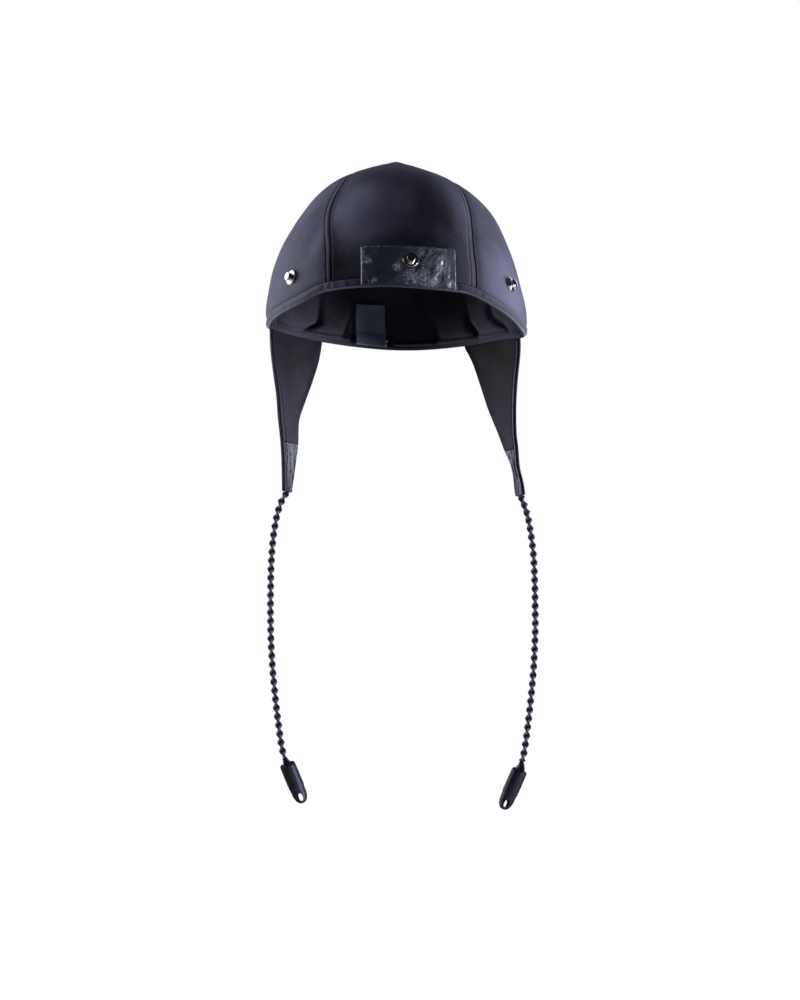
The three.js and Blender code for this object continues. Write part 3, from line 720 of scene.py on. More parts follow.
# Painted highlights on the patch: pale ragged places
PATCH_HIGHLIGHT_COLOR = (0.27, 0.28, 0.39)
PATCH_HIGHLIGHT_PLACES = [
    (0.0230, 0.024, 0.0085), (0.0125, 0.013, 0.0090), (0.0305, 0.011, 0.005), (-0.0065, 0.022, 0.004),
    (-0.0265, 0.027, 0.004), (-0.0225, 0.013, 0.003), (0.0030, 0.014, 0.007), (0.0200, 0.012, 0.005),
]
# Painted shade: a darker place on each flap's inner face, near its top
FLAP_PAINTED_SHADE = {
    "left": [((-0.078, 0.055, -0.012), 0.05, -0.9)],
    "right": [((0.080, 0.050, -0.020), 0.055, -1.2)],
}
FLAP_LOOKS = {
    name: edged(
        woven(
            f"flap_cloth_{name}", FLAP_INSIDE_PAINTED_SHADE[name], sheen=0.0, spread=0.45, tones=FLAP_PAINTED_SHADE[name],
            outside=SHELL_COLOR,
        ),
        FLAP_EDGE_PAINTED_SHADE, band,
    )
    for name, band in EDGE_BAND.items()
}
SLEEVE_LOOKS = {
    name: edged(
        twill(
            f"sleeve_twill_{name}", (0.021, 0.022, 0.038), (0.5, 0.75), 0.17, ribs=34, streak=(2.2, 0.3),
        ),
        FLAP_EDGE_PAINTED_SHADE, band,
    )
    for name, band in EDGE_BAND.items()
}
# The right piping is painted lighter than the left: a painted highlight
PIPING_LOOKS = {
    "left": woven("piping_cloth_left", (0.03, 0.03, 0.045), 300),
    "right": woven("piping_cloth_right", (0.13, 0.13, 0.18), 300),
}
# Where painted shade covers the patch's left edge
PATCH_EDGE = (-30.2, -29.4)
TWILL_LOOK = edged(
    painted_highlight_patches(
        twill("twill", (0.012, 0.015, 0.026), (0.22, 0.38), 0.75, turn=-60.0), PATCH_HIGHLIGHT_COLOR, PATCH_HIGHLIGHT_PLACES,
    ),
    EDGE_PAINTED_SHADE, PATCH_EDGE,
)
BRAID_LOOK = braided("braid", (0.044, 0.044, 0.066))
SATIN_LOOK = satin("satin", (0.13, 0.155, 0.24))
TOGGLE_LOOK = moulded("toggle_plastic", (0.034, 0.036, 0.066), (0.010, 0.011, 0.019), 0.000012)
STUD_LOOK = chrome("stud_chrome")
THREAD_LOOK = new_material("thread", (0.02, 0.02, 0.028), 0.5)
LIGHT_THREAD_LOOK = new_material("light_thread", (0.10, 0.10, 0.14), 0.5)

# Cords: a flat braid twisted so that its half turns look like beads
BRAID = {"width": 5.2, "thick": 2.1, "half_turn": 6.25, "sides": 28, "step": 0.3, "square": 2.3}
FIRST_BEAD = {"left": 1.7, "right": 1.75}
CORD_LIGHT_PLY = 0.12


def route(points, spacing):
    """A smooth line through points, read every spacing millimetres, and the run at each place."""
    fine = dense(points, 40)
    run = run_of(fine)
    spots = np.linspace(0, run[-1], int(run[-1] / spacing) + 1)
    return read_line(spots, run, fine), spots


def frames(line):
    """Directions across and off a line that turn as little as they can."""
    along = unit(np.gradient(line, axis=0))
    across = unit(np.cross(along, (0.0, 1.0, 0.0)))
    return across, unit(np.cross(across, along))


def tube_points(line, radius, sides):
    """Points round a line, at one radius or at one for each place on it."""
    across, off = frames(line)
    angles = circle(sides)[None, :, None]
    ring = across[:, None] * np.cos(angles) + off[:, None] * np.sin(angles)
    return (line[:, None] + ring * radius).reshape(-1, 3)


def make_cord(name):
    line, run = route(CORD_ROUTES[name], BRAID["step"])
    across, off = frames(line)
    angles = circle(BRAID["sides"])
    power = 2 / BRAID["square"]
    wide = BRAID["width"] / 2 * np.sign(np.cos(angles)) * np.abs(np.cos(angles)) ** power
    deep = BRAID["thick"] / 2 * np.sign(np.sin(angles)) * np.abs(np.sin(angles)) ** power
    twist = (run - FIRST_BEAD[name]) / BRAID["half_turn"] * math.pi
    plait = CORD_LIGHT_PLY * np.cos(run[:, None] * 3.6 + np.abs(wide) * 2.2)
    ridge = 1 + plait / (np.hypot(wide, deep) + 0.4)
    x = ridge * (wide * np.cos(twist)[:, None] - deep * np.sin(twist)[:, None])
    y = ridge * (wide * np.sin(twist)[:, None] + deep * np.cos(twist)[:, None])
    points = line[:, None] + x[..., None] * across[:, None] + y[..., None] * off[:, None]
    cloth = stacked(wide * np.ones_like(x), run[:, None])
    faces = tube_faces(len(line), BRAID["sides"])
    made = make_object(f"braid_{name}", points.reshape(-1, 3), faces, cloth.reshape(-1, 2))
    dress(made, BRAID_LOOK, "braid", f"cord_{name}")
    return made, line


cords = {name: make_cord(name) for name in SIDES}

# Toggles: lathe bodies with a bore, side slots and a cross hole in the nose
TOGGLE_SEATS = {
    "left": {"lean": 22.6, "tip": 16.0, "shift": 0.0, "mouth_drop": 5.6},
    "right": {"lean": 21.8, "tip": 16.0, "shift": 1.2, "mouth_drop": 7.2},
}
LATHE_SIDES = 64
TOGGLE_BEVEL = 0.12
TOGGLE_OUTSIDE = [
    (4.85, 0), (5.2, 0.12), (5.45, 0.5), (5.62, 1.2), (5.7, 2.0), (5.75, 6.0), (5.75, 12.0),
    (5.75, 17.4), (5.66, 18.3), (5.45, 19.2), (5.36, 20.4), (5.25, 24.0), (5.08, 25.4),
    (4.85, 26.4), (4.45, 27.8), (3.9, 28.9), (3.1, 29.9), (2.3, 30.6), (1.2, 31.08), (0, 31.2),
]
BORE = [(0, 8.0), (3.6, 8.0), (4.2, 7.7), (4.6, 7.0), (4.6, 0.5), (4.68, 0.14), (4.85, 0)]
CROSS_HOLE = {"width": 3.4, "length": 5.6, "drop": 26.6, "reach": 9.0}
TOGGLE_SLOTS = table(
    "drop width height deep",
    (2.8, 4.6, 0.9, 0.7), (16.4, 5.6, 1.2, 1.3), (26.8, 3.6, 1.5, 1.2),
)
CORD_END = [(1.2, 0.25), (1.95, 0.9), (2.45, 2.4), (3.1, 4.2), (3.8, 5.8), (4.15, 7.0), (4.15, 9.2)]


def hanging(name):
    """The matrix, in millimetres, of the group that a cord's end and toggle hang in."""
    seat = TOGGLE_SEATS[name]
    top = Vector(CORD_ROUTES[name][-1]) + Vector((seat["shift"], 0, 0))
    tip = Matrix.Rotation(math.radians(seat["tip"]), 4, "X")
    return Matrix.Translation(top) @ tip @ Matrix.Rotation(math.radians(SIDES[name] * seat["lean"]), 4, "Y")


def moved(points, matrix):
    turn = np.array(matrix.to_3x3())
    return np.asarray(points) @ turn.T + np.array(matrix.to_translation())


def cut(body, points, faces):
    """Takes a closed shape out of a body."""
    mesh = bpy.data.meshes.new("cutter")
    mesh.from_pydata((np.asarray(points) * MM).tolist(), [], faces)
    tool = add_object("cutter", mesh)
    shape = bmesh.new()
    shape.from_mesh(mesh)
    bmesh.ops.recalc_face_normals(shape, faces=shape.faces)
    shape.to_mesh(mesh)
    shape.free()
    modifier = body.modifiers.new("cut", "BOOLEAN")
    modifier.operation, modifier.solver, modifier.object = "DIFFERENCE", "EXACT", tool
    apply_modifiers(body)
    bpy.data.objects.remove(tool)


def apply_modifiers(body):
    """Leaves the body with the mesh that its modifiers make."""
    graph = bpy.context.evaluated_depsgraph_get()
    mesh = bpy.data.meshes.new_from_object(body.evaluated_get(graph))
    body.modifiers.clear()
    body.data = mesh


def stadium(width, length, sides=16):
    """The outline of a slot with round ends, in (x, y)."""
    half, straight = width / 2, (length - width) / 2
    top = np.linspace(0, math.pi, sides)
    upper = np.stack([half * np.cos(top), straight + half * np.sin(top)], -1)
    return np.concatenate([upper, -upper])


def make_toggle(name):
    side, seat = SIDES[name], TOGGLE_SEATS[name]
    radii, drops = np.array(TOGGLE_OUTSIDE).T
    points, faces = lathe([(radius, -drop) for radius, drop in BORE + TOGGLE_OUTSIDE], LATHE_SIDES)
    place = hanging(name) @ Matrix.Translation((0, 0, -seat["mouth_drop"]))
    halves = np.stack([side * points[:, 0], points[:, 2]], -1)
    made = make_object(f"toggle_body_{name}", moved(points, place), faces, halves)
    outline = stadium(CROSS_HOLE["width"], CROSS_HOLE["length"])
    reach = CROSS_HOLE["reach"]
    untip = Matrix.Rotation(-math.radians(seat["tip"]), 4, "X")
    level = Matrix.Translation((0, 0, -CROSS_HOLE["drop"])) @ untip
    hole = [(x, y, z) for y in (-reach, reach) for x, z in outline]
    cut(made, moved(hole, place @ level), tube_faces(2, len(outline)))
    for drop, width, height, deep in zip(*TOGGLE_SLOTS.values()):
        radius = np.interp(drop, drops, radii)
        rim = np.array([(-1, -1), (1, -1), (1, 1), (-1, 1)]) * (width / 2, height / 2)
        box = [(side * radius + x, y, z - drop) for x in (-deep, deep) for y, z in rim]
        cut(made, moved(box, place), tube_faces(2, 4))
    soften = made.modifiers.new("edges", "BEVEL")
    soften.width, soften.segments, soften.limit_method = TOGGLE_BEVEL * MM, 2, "ANGLE"
    soften.angle_limit = math.radians(40)
    apply_modifiers(made)
    for polygon in made.data.polygons:
        polygon.use_smooth = True
    made.data.materials.clear()
    return dress(made, TOGGLE_LOOK, "toggle_plastic", f"toggle_{name}")


LOBES = {"count": 4, "deep": 0.16}
CORD_END_SIDES = 48


def make_cord_end(name):
    """The braid spreading like a tent into the toggle's mouth, with folds between its plies."""
    rows = dense(CORD_END, 6)
    sides = CORD_END_SIDES
    angles = circle(sides)
    fold = 1 - LOBES["deep"] * np.cos(LOBES["count"] * angles) * np.ones((len(rows), 1))
    fade = np.clip(rows[:, 1] / 1.5, 0, 1)[:, None]
    radius = rows[:, :1] * mix(1.0, fold, fade) / (1 + LOBES["deep"] * fade)
    flat = mix(0.6, 1.0, step(0, 3.2, rows[:, 1]))[:, None]
    to_cord = TOGGLE_SEATS[name]["shift"] * (1 - step(0, 5, rows[:, 1]))[:, None]
    x = radius * np.cos(angles) - to_cord
    y = radius * np.sin(angles) * flat
    z = -rows[:, 1:2] * np.ones((1, sides))
    points = moved(np.stack([x, y, z], -1).reshape(-1, 3), hanging(name))
    cloth = stacked(angles * 2.0, rows[:, 1:2] * np.ones((1, sides)))
    faces = tube_faces(len(rows), sides)
    made = make_object(f"cord_end_braid_{name}", points, faces, cloth.reshape(-1, 2))
    return dress(made, BRAID_LOOK, "braid", f"cord_end_{name}")


for side_name in SIDES:
    on_it = [make_cord_end(side_name), make_toggle(side_name)]

# Crown panels: what each edge does. dip is how deep the cloth sinks at the seam, over a span; roll
# is the edge's radius; stitch is how far the topstitching's furrow lies from the seam, 0 for none, and
# sunk its depth; calm is how far from the seam the soft forms have come in full.
EDGES = {
    "proud": {"dip": -0.35, "span": 2.2, "roll": 0.45, "stitch": 0, "sunk": 0, "calm": 7},
    "sunk": {"dip": 1.2, "span": 1.0, "roll": 0.6, "stitch": 4.6, "sunk": 0.4, "calm": 9},
    "flat": {"dip": 0.45, "span": 3.2, "roll": 0.5, "stitch": 0, "sunk": 0, "calm": 9},
    "flat_stitched": {"dip": 0.5, "span": 3.6, "roll": 0.5, "stitch": 4.6, "sunk": 0.3, "calm": 9},
}
PANELS = {
    "front_panel": {"from": (-1, "front", "proud"), "to": (1, "front", "flat_stitched")},
    "side_panel_left": {"from": (-1, "side", "flat_stitched"), "to": (-1, "front", "sunk")},
    "side_panel_right": {"from": (1, "front", "flat"), "to": (1, "side", "flat_stitched")},
    "back_panel_left": {"from": (-1, "back", "flat_stitched"), "to": (-1, "side", "flat")},
    "back_panel_right": {"from": (1, "side", "flat"), "to": (1, "back", "flat")},
}
EDGE_STEPS = np.array([0, 0.08, 0.25, 0.5, 0.85, 1.3, 1.9, 2.6, 3.3, 3.8, 4.2, 4.6, 5.0, 5.4, 6.0, 7.0, 8.5])
FOOT_STEPS = np.array([0, 0.08, 0.25, 0.5, 0.85, 1.3, 2.0, 3.0, 4.5, 6.5])
PANEL_MIDDLE, PANEL_RISE = 64, 100
FOOT_ROLL, FOOT_DIP, FOOT_SPAN = 0.6, 0.9, 1.8
SUNK_MOST = 1.25
PANEL_RUN, FIRST_RISE = 160, 7.5
SHARE_WIDTH, NARROW = 110.0, 34
SEAM_STITCH_FROM, SEAM_STITCH_TO, SEAM_STITCH_STEPS = 14.5, 111.0, 240
STITCH_AWAY, STITCH_SINK = 4.7, 0.1

# Soft dents and small swells that only the outer face has
DENTS = table(
    FORM_COLUMNS,
    (-17, 64, 18, 8, -12, 1.3),
    (9, 70, 26, 7, 85, -1.4),
    (27, 66, 22, 8, 80, 0.9),
    (10, 46, 24, 5, 0, 0.9),
    (-22, 40, 20, 8, -10, -1.2),
    (-47, 47, 13, 6, 70, -0.8),
    (-40, 40, 8, 5, 80, 0.6),
    (36, 60, 22, 7, -80, 0.5),
    (75, 30, 20, 9, -70, -0.5),
    (-70, 30, 20, 9, 60, -0.5),
    (-95, 40, 22, 9, 80, -0.8),
    (-125, 55, 24, 9, 60, -0.8),
    (-150, 35, 24, 9, 75, -0.9),
    (-160, 75, 24, 9, 60, 0.7),
    (160, 70, 24, 9, -60, -0.9),
    (145, 40, 26, 9, -80, -0.9),
    (115, 60, 24, 9, -70, -0.8),
    (100, 35, 22, 9, 80, 0.6),
    (175, 25, 18, 8, 70, -0.7),
)
RIPPLE = (3, 26, 0.14)
BODY_MOST = 1.4
INNER_MOST = 0.35


def seam_azimuth(edge, level):
    side, seam, _kind = edge
    if seam == "back":
        return side * 180.0 + 0 * level
    column = "side" if seam == "side" else {-1: "front_left", 1: "front_right"}[side]
    return side * look_up(SEAMS, "height", smooth(CROWN["height"], level), column)


def panel_edges(panel, level):
    """The azimuths between which a panel lies at each level, and the width between them."""
    half = smooth(CROWN["half_width"], level)
    half_gap = np.degrees(SEAM_GAP / 2 / half)
    low = seam_azimuth(panel["from"], level) + half_gap
    high = seam_azimuth(panel["to"], level) - half_gap
    return low, high, np.radians(high - low) * half


def across_share(width):
    """How far across a panel each grid line lies, from 0 to 1, close together near its edges."""
    near = EDGE_STEPS * np.minimum(1, width / NARROW)[..., None]
    last = near[..., -1:]
    middle = np.linspace(0, 1, PANEL_MIDDLE + 2)[1:-1]
    inner = last + (width[..., None] - 2 * last) * middle
    return np.concatenate([near, inner, width[..., None] - near[..., ::-1]], -1) / width[..., None]


def edge_depth(distance, kind, fade):
    """How deep the outer face lies at a distance from a seam. fade thins it out near the top."""
    edge = EDGES[kind]
    dip = edge["dip"] * np.exp(-((distance / edge["span"]) ** 2))
    furrow = 0
    if edge["stitch"]:
        furrow = groove(distance, edge["stitch"], 0.55, edge["sunk"])
    return fade * (dip + furrow)


def panel_depth(panel, azimuth, level, left, right, above, width):
    """How deep a panel's outer face lies: its seams, its foot and the soft forms between them."""
    height = smooth(CROWN["height"], level)
    thin = step(0, 14, np.minimum(width, 60) / 2)
    sunk = edge_depth(left, panel["from"][2], thin) + edge_depth(right, panel["to"][2], thin)
    sunk = np.minimum(sunk + FOOT_DIP * np.exp(-((above / FOOT_SPAN) ** 2)), SUNK_MOST)
    near_seams = np.minimum(left / EDGES[panel["from"][2]]["calm"], right / EDGES[panel["to"][2]]["calm"])
    calm = step(0, 1, np.minimum(near_seams, above / 9))
    ripple = ripples(on_crown(azimuth, level), RIPPLE)
    body = np.clip(-forms(DENTS, azimuth, height) + ripple, -BODY_MOST, BODY_MOST) * calm
    return sunk, body


def make_panel(name, panel):
    rise = np.concatenate([FOOT_STEPS / PANEL_RUN, np.linspace(FIRST_RISE / PANEL_RUN, 1, PANEL_RISE)])
    share = across_share(np.full(1, SHARE_WIDTH))[0]
    low, high = panel_edges(panel, level_of(HEM_HEIGHT))[:2]
    foot = rim_height(mix(low, high, share)) + HEM_HEIGHT + GAP
    level = mix(level_of(foot)[:, None], PANEL_TIP, rise[None, :])
    low, high, width = panel_edges(panel, level)
    local_share = np.stack([across_share(width[i])[:, i] for i in range(len(share))], 0)
    azimuth = mix(low, high, local_share)
    left, right = local_share * width, (1 - local_share) * width
    above = smooth(CROWN["height"], level) - foot[:, None]
    sunk, body = panel_depth(panel, azimuth, level, left, right, above, width)
    roll_left = rolled(left, EDGES[panel["from"][2]]["roll"])
    roll_right = rolled(right, EDGES[panel["to"][2]]["roll"])
    roll = np.maximum(np.maximum(roll_left, roll_right), rolled(above, FOOT_ROLL))
    half_wall = (SHELL - sunk) / 2
    roll = np.minimum(roll, 1) * half_wall / np.maximum(half_wall, 0.45)
    roll = np.minimum(roll, half_wall)
    outer = shell_point(azimuth, level, sunk + roll + body)
    inner = shell_point(azimuth, level, SHELL - roll + np.clip(body, 0, INNER_MOST))
    run_up = np.cumsum(np.linalg.norm(np.diff(outer, axis=1, prepend=outer[:, :1]), axis=-1), axis=1)
    cloth = stacked(np.minimum(left, right), run_up)
    made = make_wall(f"{name}_cloth", outer, inner, cloth=cloth)
    return dress(made, SHELL_LOOK, "shell_cloth", name)


panels = {name: make_panel(name, panel) for name, panel in PANELS.items()}


def seam_line(name, edge_name, away, sink):
    """A line of stitches on a panel's outer face, beside the seam at one of its edges."""
    panel = PANELS[name]
    level = np.linspace(level_of(SEAM_STITCH_FROM), level_of(SEAM_STITCH_TO), SEAM_STITCH_STEPS)
    low, high, width = panel_edges(panel, level)
    share = away / width if edge_name == "from" else 1 - away / width
    azimuth = mix(low, high, share)
    left, right = share * width, (1 - share) * width
    above = smooth(CROWN["height"], level) - rim_height(azimuth) - HEM_HEIGHT - GAP
    sunk, body = panel_depth(panel, azimuth, level, left, right, above, width)
    return shell_point(azimuth, level, sunk + body + sink), crown_normal(azimuth, level)


SEAM_STITCHES = [
    ("side_panel_left", "to"), ("front_panel", "to"), ("side_panel_left", "from"),
    ("side_panel_right", "to"), ("back_panel_left", "from"),
]
stitches(
    "seam_stitches", [seam_line(name, edge, STITCH_AWAY, STITCH_SINK) for name, edge in SEAM_STITCHES],
    THREAD_LOOK,
)

# Hem band: a puffy closed roll with puckers and a few tucks
HEM_STATIONS, HEM_STEPS = 560, 5
PUCKER = {"waves": 6, "period": 9, "radius": 95, "seed": 1, "even": 2.4, "rise": 0.1}
OUTER_PART, INNER_SHARE = (2.6, 0.4), -0.6
HEM_STITCH = {"rise": 5.3, "depth": 0.2, "steps": 900}
TUCKS = table(
    "azimuth reach depth",
    (-37, 1.1, 0.45), (-33.5, 0.8, 0.35), (-30, 0.9, 0.3), (31, 0.9, 0.35), (35, 1.1, 0.45),
    (-88, 1.0, 0.35), (92, 1.0, 0.35), (-136, 1.0, 0.35), (141, 1.0, 0.35), (-179, 0.9, 0.45),
)


def pucker(azimuth):
    """Small uneven puckers along the hem."""
    angle = np.radians(azimuth)
    random = np.random.default_rng(SEED + PUCKER["seed"])
    total = 0
    for _ in range(PUCKER["waves"]):
        period = PUCKER["period"] * random.uniform(0.6, 1.7)
        count = round(2 * math.pi * PUCKER["radius"] / period)
        total = total + np.sin(count * angle + random.uniform(0, 2 * math.pi))
    return total / PUCKER["even"] * PUCKER["rise"]


def make_hem():
    azimuth = (np.arange(HEM_STATIONS) / HEM_STATIONS * 360 - 180)[:, None]
    last = len(HEM_SECTION["rise"]) - 1
    row = np.linspace(0, last, HEM_STEPS * last + 1)
    rise = smooth(HEM_SECTION["rise"], row)
    depth = smooth(HEM_SECTION["depth"], row)
    share = mix(INNER_SHARE, 1, step(*OUTER_PART, depth))
    swell = np.sin(np.clip(rise / HEM_HEIGHT, 0, 1) * math.pi)
    small = pucker(azimuth) * swell
    for centre, reach, deep in zip(*TUCKS.values()):
        small = small + deep * np.exp(-((wrapped(azimuth - centre) / reach) ** 2)) * swell
    height = rim_height(azimuth) + rise
    points = shell_point(azimuth, level_of(height), depth + small * share + 0 * height)
    sections = len(row)
    index = np.arange(HEM_STATIONS * sections).reshape(HEM_STATIONS, sections)
    after = np.roll(index, -1, 0)
    faces = quads(index, np.roll(index, -1, 1), np.roll(after, -1, 1), after).tolist()
    around = np.radians(azimuth) * MEAN_RADIUS + 0 * rise
    along = np.cumsum(np.hypot(np.diff(rise, prepend=rise[0]), np.diff(depth, prepend=depth[0])))
    cloth = stacked(around, along[None, :]).reshape(-1, 2)
    made = make_object("hem_band_cloth", points.reshape(-1, 3), faces, cloth)
    return dress(made, HEM_LOOK, "shell_cloth", "hem_band")


hem = make_hem()


def hem_line():
    azimuth = np.linspace(-180, 180, HEM_STITCH["steps"])
    level = level_of(rim_height(azimuth) + HEM_STITCH["rise"])
    return shell_point(azimuth, level, HEM_STITCH["depth"]), crown_normal(azimuth, level)


stitches("hem_stitches", [hem_line()], THREAD_LOOK)

# Lining: cloth gathered into lobes between sharp creases that lean as they rise, and drooping over the
# hem's inner face except behind the tag
CREASES = table(
    "foot top reach depth",
    (-161.5, -163, 20, 0.8), (-154.5, -162, 25, 4.2), (-119.0, -143.7, 14, 4.4),
    (-100, -108, 20, 3.6), (-84, -84, 20, 3.0), (-58, -60, 20, 2.2), (-30, -30, 20, 1.8),
    (0, 0, 20, 1.8), (28, 30, 20, 2.2), (52, 54, 20, 3.0), (74, 84, 20, 4.2), (93, 122, 20, 4.8),
    (126.4, 137.1, 20, 5.0), (154.7, 156.8, 25, 3.8), (177, 178, 20, 0),
)
CREASE_CURVE = 0.6
LOBE = {"flat": 3.2, "sharp": 0.55, "crease": 0.04, "fade_from": 12.0, "fade_to": 48.0}
LINING_COLUMNS = 540
SKIRT_RISES = np.array([2.7, 2.8, 3.05, 3.5, 4.1, 4.8, 5.5, 6.2, 6.9, 7.7, 8.6])
SKIRT_THICK = np.array([0.25, 0.65, 0.95, 1.1, 1.2, 1.25, 1.25, 1.2, 1.15, 1.1, 1.05])
LINING_ROWS = 68
HEM_INSIDE = {"rise": (3.4, 5.2, 6.2, 6.6, 8.6), "depth": (5.1, 4.85, 4.3, 3.4, 2.6)}
BEHIND_TAG = {"centre": -171.8, "half": 10.2, "blend": 1.6}
LINING_MOST = 6.4
SHORTEST_SKIRT = 6.7
TOP_HOLE = 1.02
LINING_CROWD = 1.25
LINING_RIPPLE, LINING_RIPPLE_LEAST = (11, 12, 0.1), -0.15
FOLD_ABOVE, FOLD_ON_SKIRT = 0.9, 0.35
SKIRT_END, SKIRT_FOOT = (3.0, 10.0), (2.6, 3.6)


def lining_fold(azimuth, rise):
    """How far the gathered lining swells inward at a place, by its rise above the rim."""
    lean = np.clip(rise[..., None] / CREASES["reach"], 0, 1) ** CREASE_CURVE
    lines = mix(CREASES["foot"], CREASES["top"], lean)
    lines = np.concatenate([lines, lines[..., :1] + 360], -1)
    place = np.where(azimuth < lines[..., 0], azimuth + 360, azimuth)
    total = np.zeros_like(place)
    for i, depth in enumerate(CREASES["depth"]):
        low, high = lines[..., i], lines[..., i + 1]
        t = ((place - low) / (high - low) - LOBE["crease"]) / (1 - 2 * LOBE["crease"])
        t = np.clip(t, 0, 1)
        pillow = np.maximum(1 - np.abs(2 * t - 1) ** LOBE["flat"], 0) ** LOBE["sharp"]
        total = np.where((place >= low) & (place < high), depth * pillow, total)
    return total * (1 - step(LOBE["fade_from"], LOBE["fade_to"], rise))


def make_lining():
    azimuth = (np.arange(LINING_COLUMNS) / LINING_COLUMNS * 360 - 180)[:, None]
    off_tag = np.abs(wrapped(azimuth - BEHIND_TAG["centre"])) - BEHIND_TAG["half"]
    plain = 1 - step(0, BEHIND_TAG["blend"], off_tag)
    rim = rim_height(azimuth)
    shortest = np.linspace(SHORTEST_SKIRT, SKIRT_RISES[-1], len(SKIRT_RISES))
    skirt = level_of(rim + mix(SKIRT_RISES, shortest, plain))
    up = np.linspace(0, 1, LINING_ROWS)[1:] ** LINING_CROWD
    level = np.concatenate([skirt, mix(skirt[:, -1:], len(CROWN["height"]) - TOP_HOLE, up)], 1)
    height = smooth(CROWN["height"], level)
    rise = np.maximum(height - rim, 0)
    azimuth = azimuth + 0 * rise
    fold = lining_fold(azimuth, rise)
    thick = np.concatenate([SKIRT_THICK, np.full(len(up), LINING_CLOTH)])
    fine = np.maximum(ripples(on_crown(azimuth, level), LINING_RIPPLE), LINING_RIPPLE_LEAST)
    over_hem = np.interp(rise, HEM_INSIDE["rise"], HEM_INSIDE["depth"])
    above = step(*SKIRT_END, rise)
    outer_depth = np.maximum(SHELL + LINING_GAP + fold * FOLD_ABOVE * above, over_hem)
    on_skirt = fold * FOLD_ON_SKIRT * (1 - above) * step(*SKIRT_FOOT, rise)
    inner_depth = outer_depth + thick + fine + on_skirt
    inner_depth = np.minimum(inner_depth, SHELL + LINING_GAP + LINING_MOST)
    outer = crown_point(azimuth, level, outer_depth)
    inner = crown_point(azimuth, level, inner_depth)
    cloth = np.stack([np.radians(azimuth) * smooth(CROWN["half_width"], level), height], -1)
    made = make_wall("lining_cloth_gathered", outer, inner, closed=True, cloth=cloth)
    return dress(made, LINING_LOOK, "lining_cloth", "lining")


lining = make_lining()

# Patch: crumpled glossy twill over the forehead
PATCH = {"from": -30.4, "to": 33.4, "top": 37.2, "bottom_rise": 0.8}
# A raised strip at the left, a furrow at the right, a ridge under the top and the calm round the stud
PATCH_STRIP, PATCH_STRIP_RISE = (5.0, 5.7), 0.3
PATCH_FURROW, PATCH_RIDGE = (3.2, 1.4, 0.3), (1.2, 0.6, 0.12)
STUD_CALM, PATCH_EDGE_CALM, PATCH_INNER_SHARE = (5.3, 8.0), 1.2, 0.5
PATCH_GRID = (200, 110)


def azimuth_across(x, height):
    level = level_of(height)
    reach = (x - smooth(CROWN["lean"], level)) / smooth(CROWN["half_width"], level)
    return np.degrees(np.arcsin(reach))


STUDS = {
    "front": {"azimuth": 2.5, "height": 26.7, "lift": 2 * GAP + PATCH_CLOTH},
    "left": {"azimuth": -56.5, "height": 22.5, "lift": GAP},
    "right": {"azimuth": 57.0, "height": 19.6, "lift": GAP},
}


# The patch's soft lumps and hollows: centre across and up, reach along and across, slope and rise
PATCH_LUMPS = table(
    "across height along wide slope rise",
    (20.5, 25.5, 7.5, 4.2, 75, 0.6), (24.2, 13.5, 3.2, 2.4, 60, -0.6), (28.5, 11.0, 3.0, 1.6, 60, 0.4),
    (9.0, 15.5, 7.0, 3.2, 60, 0.35), (14.5, 16.0, 6.0, 1.8, 72, -0.35), (17.5, 12.5, 3.0, 1.5, 65, 0.35),
    (-7.5, 24.6, 2.4, 1.3, 50, 0.35), (-27.8, 30.0, 5.0, 1.6, 85, 0.3), (-24.5, 14.0, 3.0, 1.6, 80, 0.25),
)
PATCH_CREASE = {"height": (12.2, 25.0, 35.1), "across": (7.3, 10.7, 15.8), "reach": 0.55, "rise": 0.2}
CRUMPLED = {
    "across": 15.0, "height": 19.0, "reach_across": 17.0, "reach_up": 14.0, "slope": 68, "long": 0.4,
}
CREASE_SIDE = (2.4, 1.4, 0.3)
PATCH_RIPPLE, CREASE_RIPPLES = (21, 9.0, 0.08), ((22, 3.0, 0.17), (23, 5.0, 0.36))
PATCH_MOST = {"out": 0.8, "in": 0.5}


def patch_relief(across, height, base):
    """How far the patch's outer face stands proud of its plain form."""
    total = ripples(base, PATCH_RIPPLE)
    for centre, level, *form in zip(*PATCH_LUMPS.values()):
        total = total + oval(across - centre, height - level, *form)
    beside = across - np.interp(height, PATCH_CREASE["height"], PATCH_CREASE["across"])
    total = total + groove(beside, 0, PATCH_CREASE["reach"], PATCH_CREASE["rise"])
    total = total - groove(beside, *CREASE_SIDE)
    near = ((across - CRUMPLED["across"]) / CRUMPLED["reach_across"]) ** 2
    near = near + ((height - CRUMPLED["height"]) / CRUMPLED["reach_up"]) ** 2
    along, beside = tilted(across, height, CRUMPLED["slope"])
    creased = stacked(along * CRUMPLED["long"], beside, 0 * along)
    return total + np.exp(-near * near) * ripples(creased, *CREASE_RIPPLES)


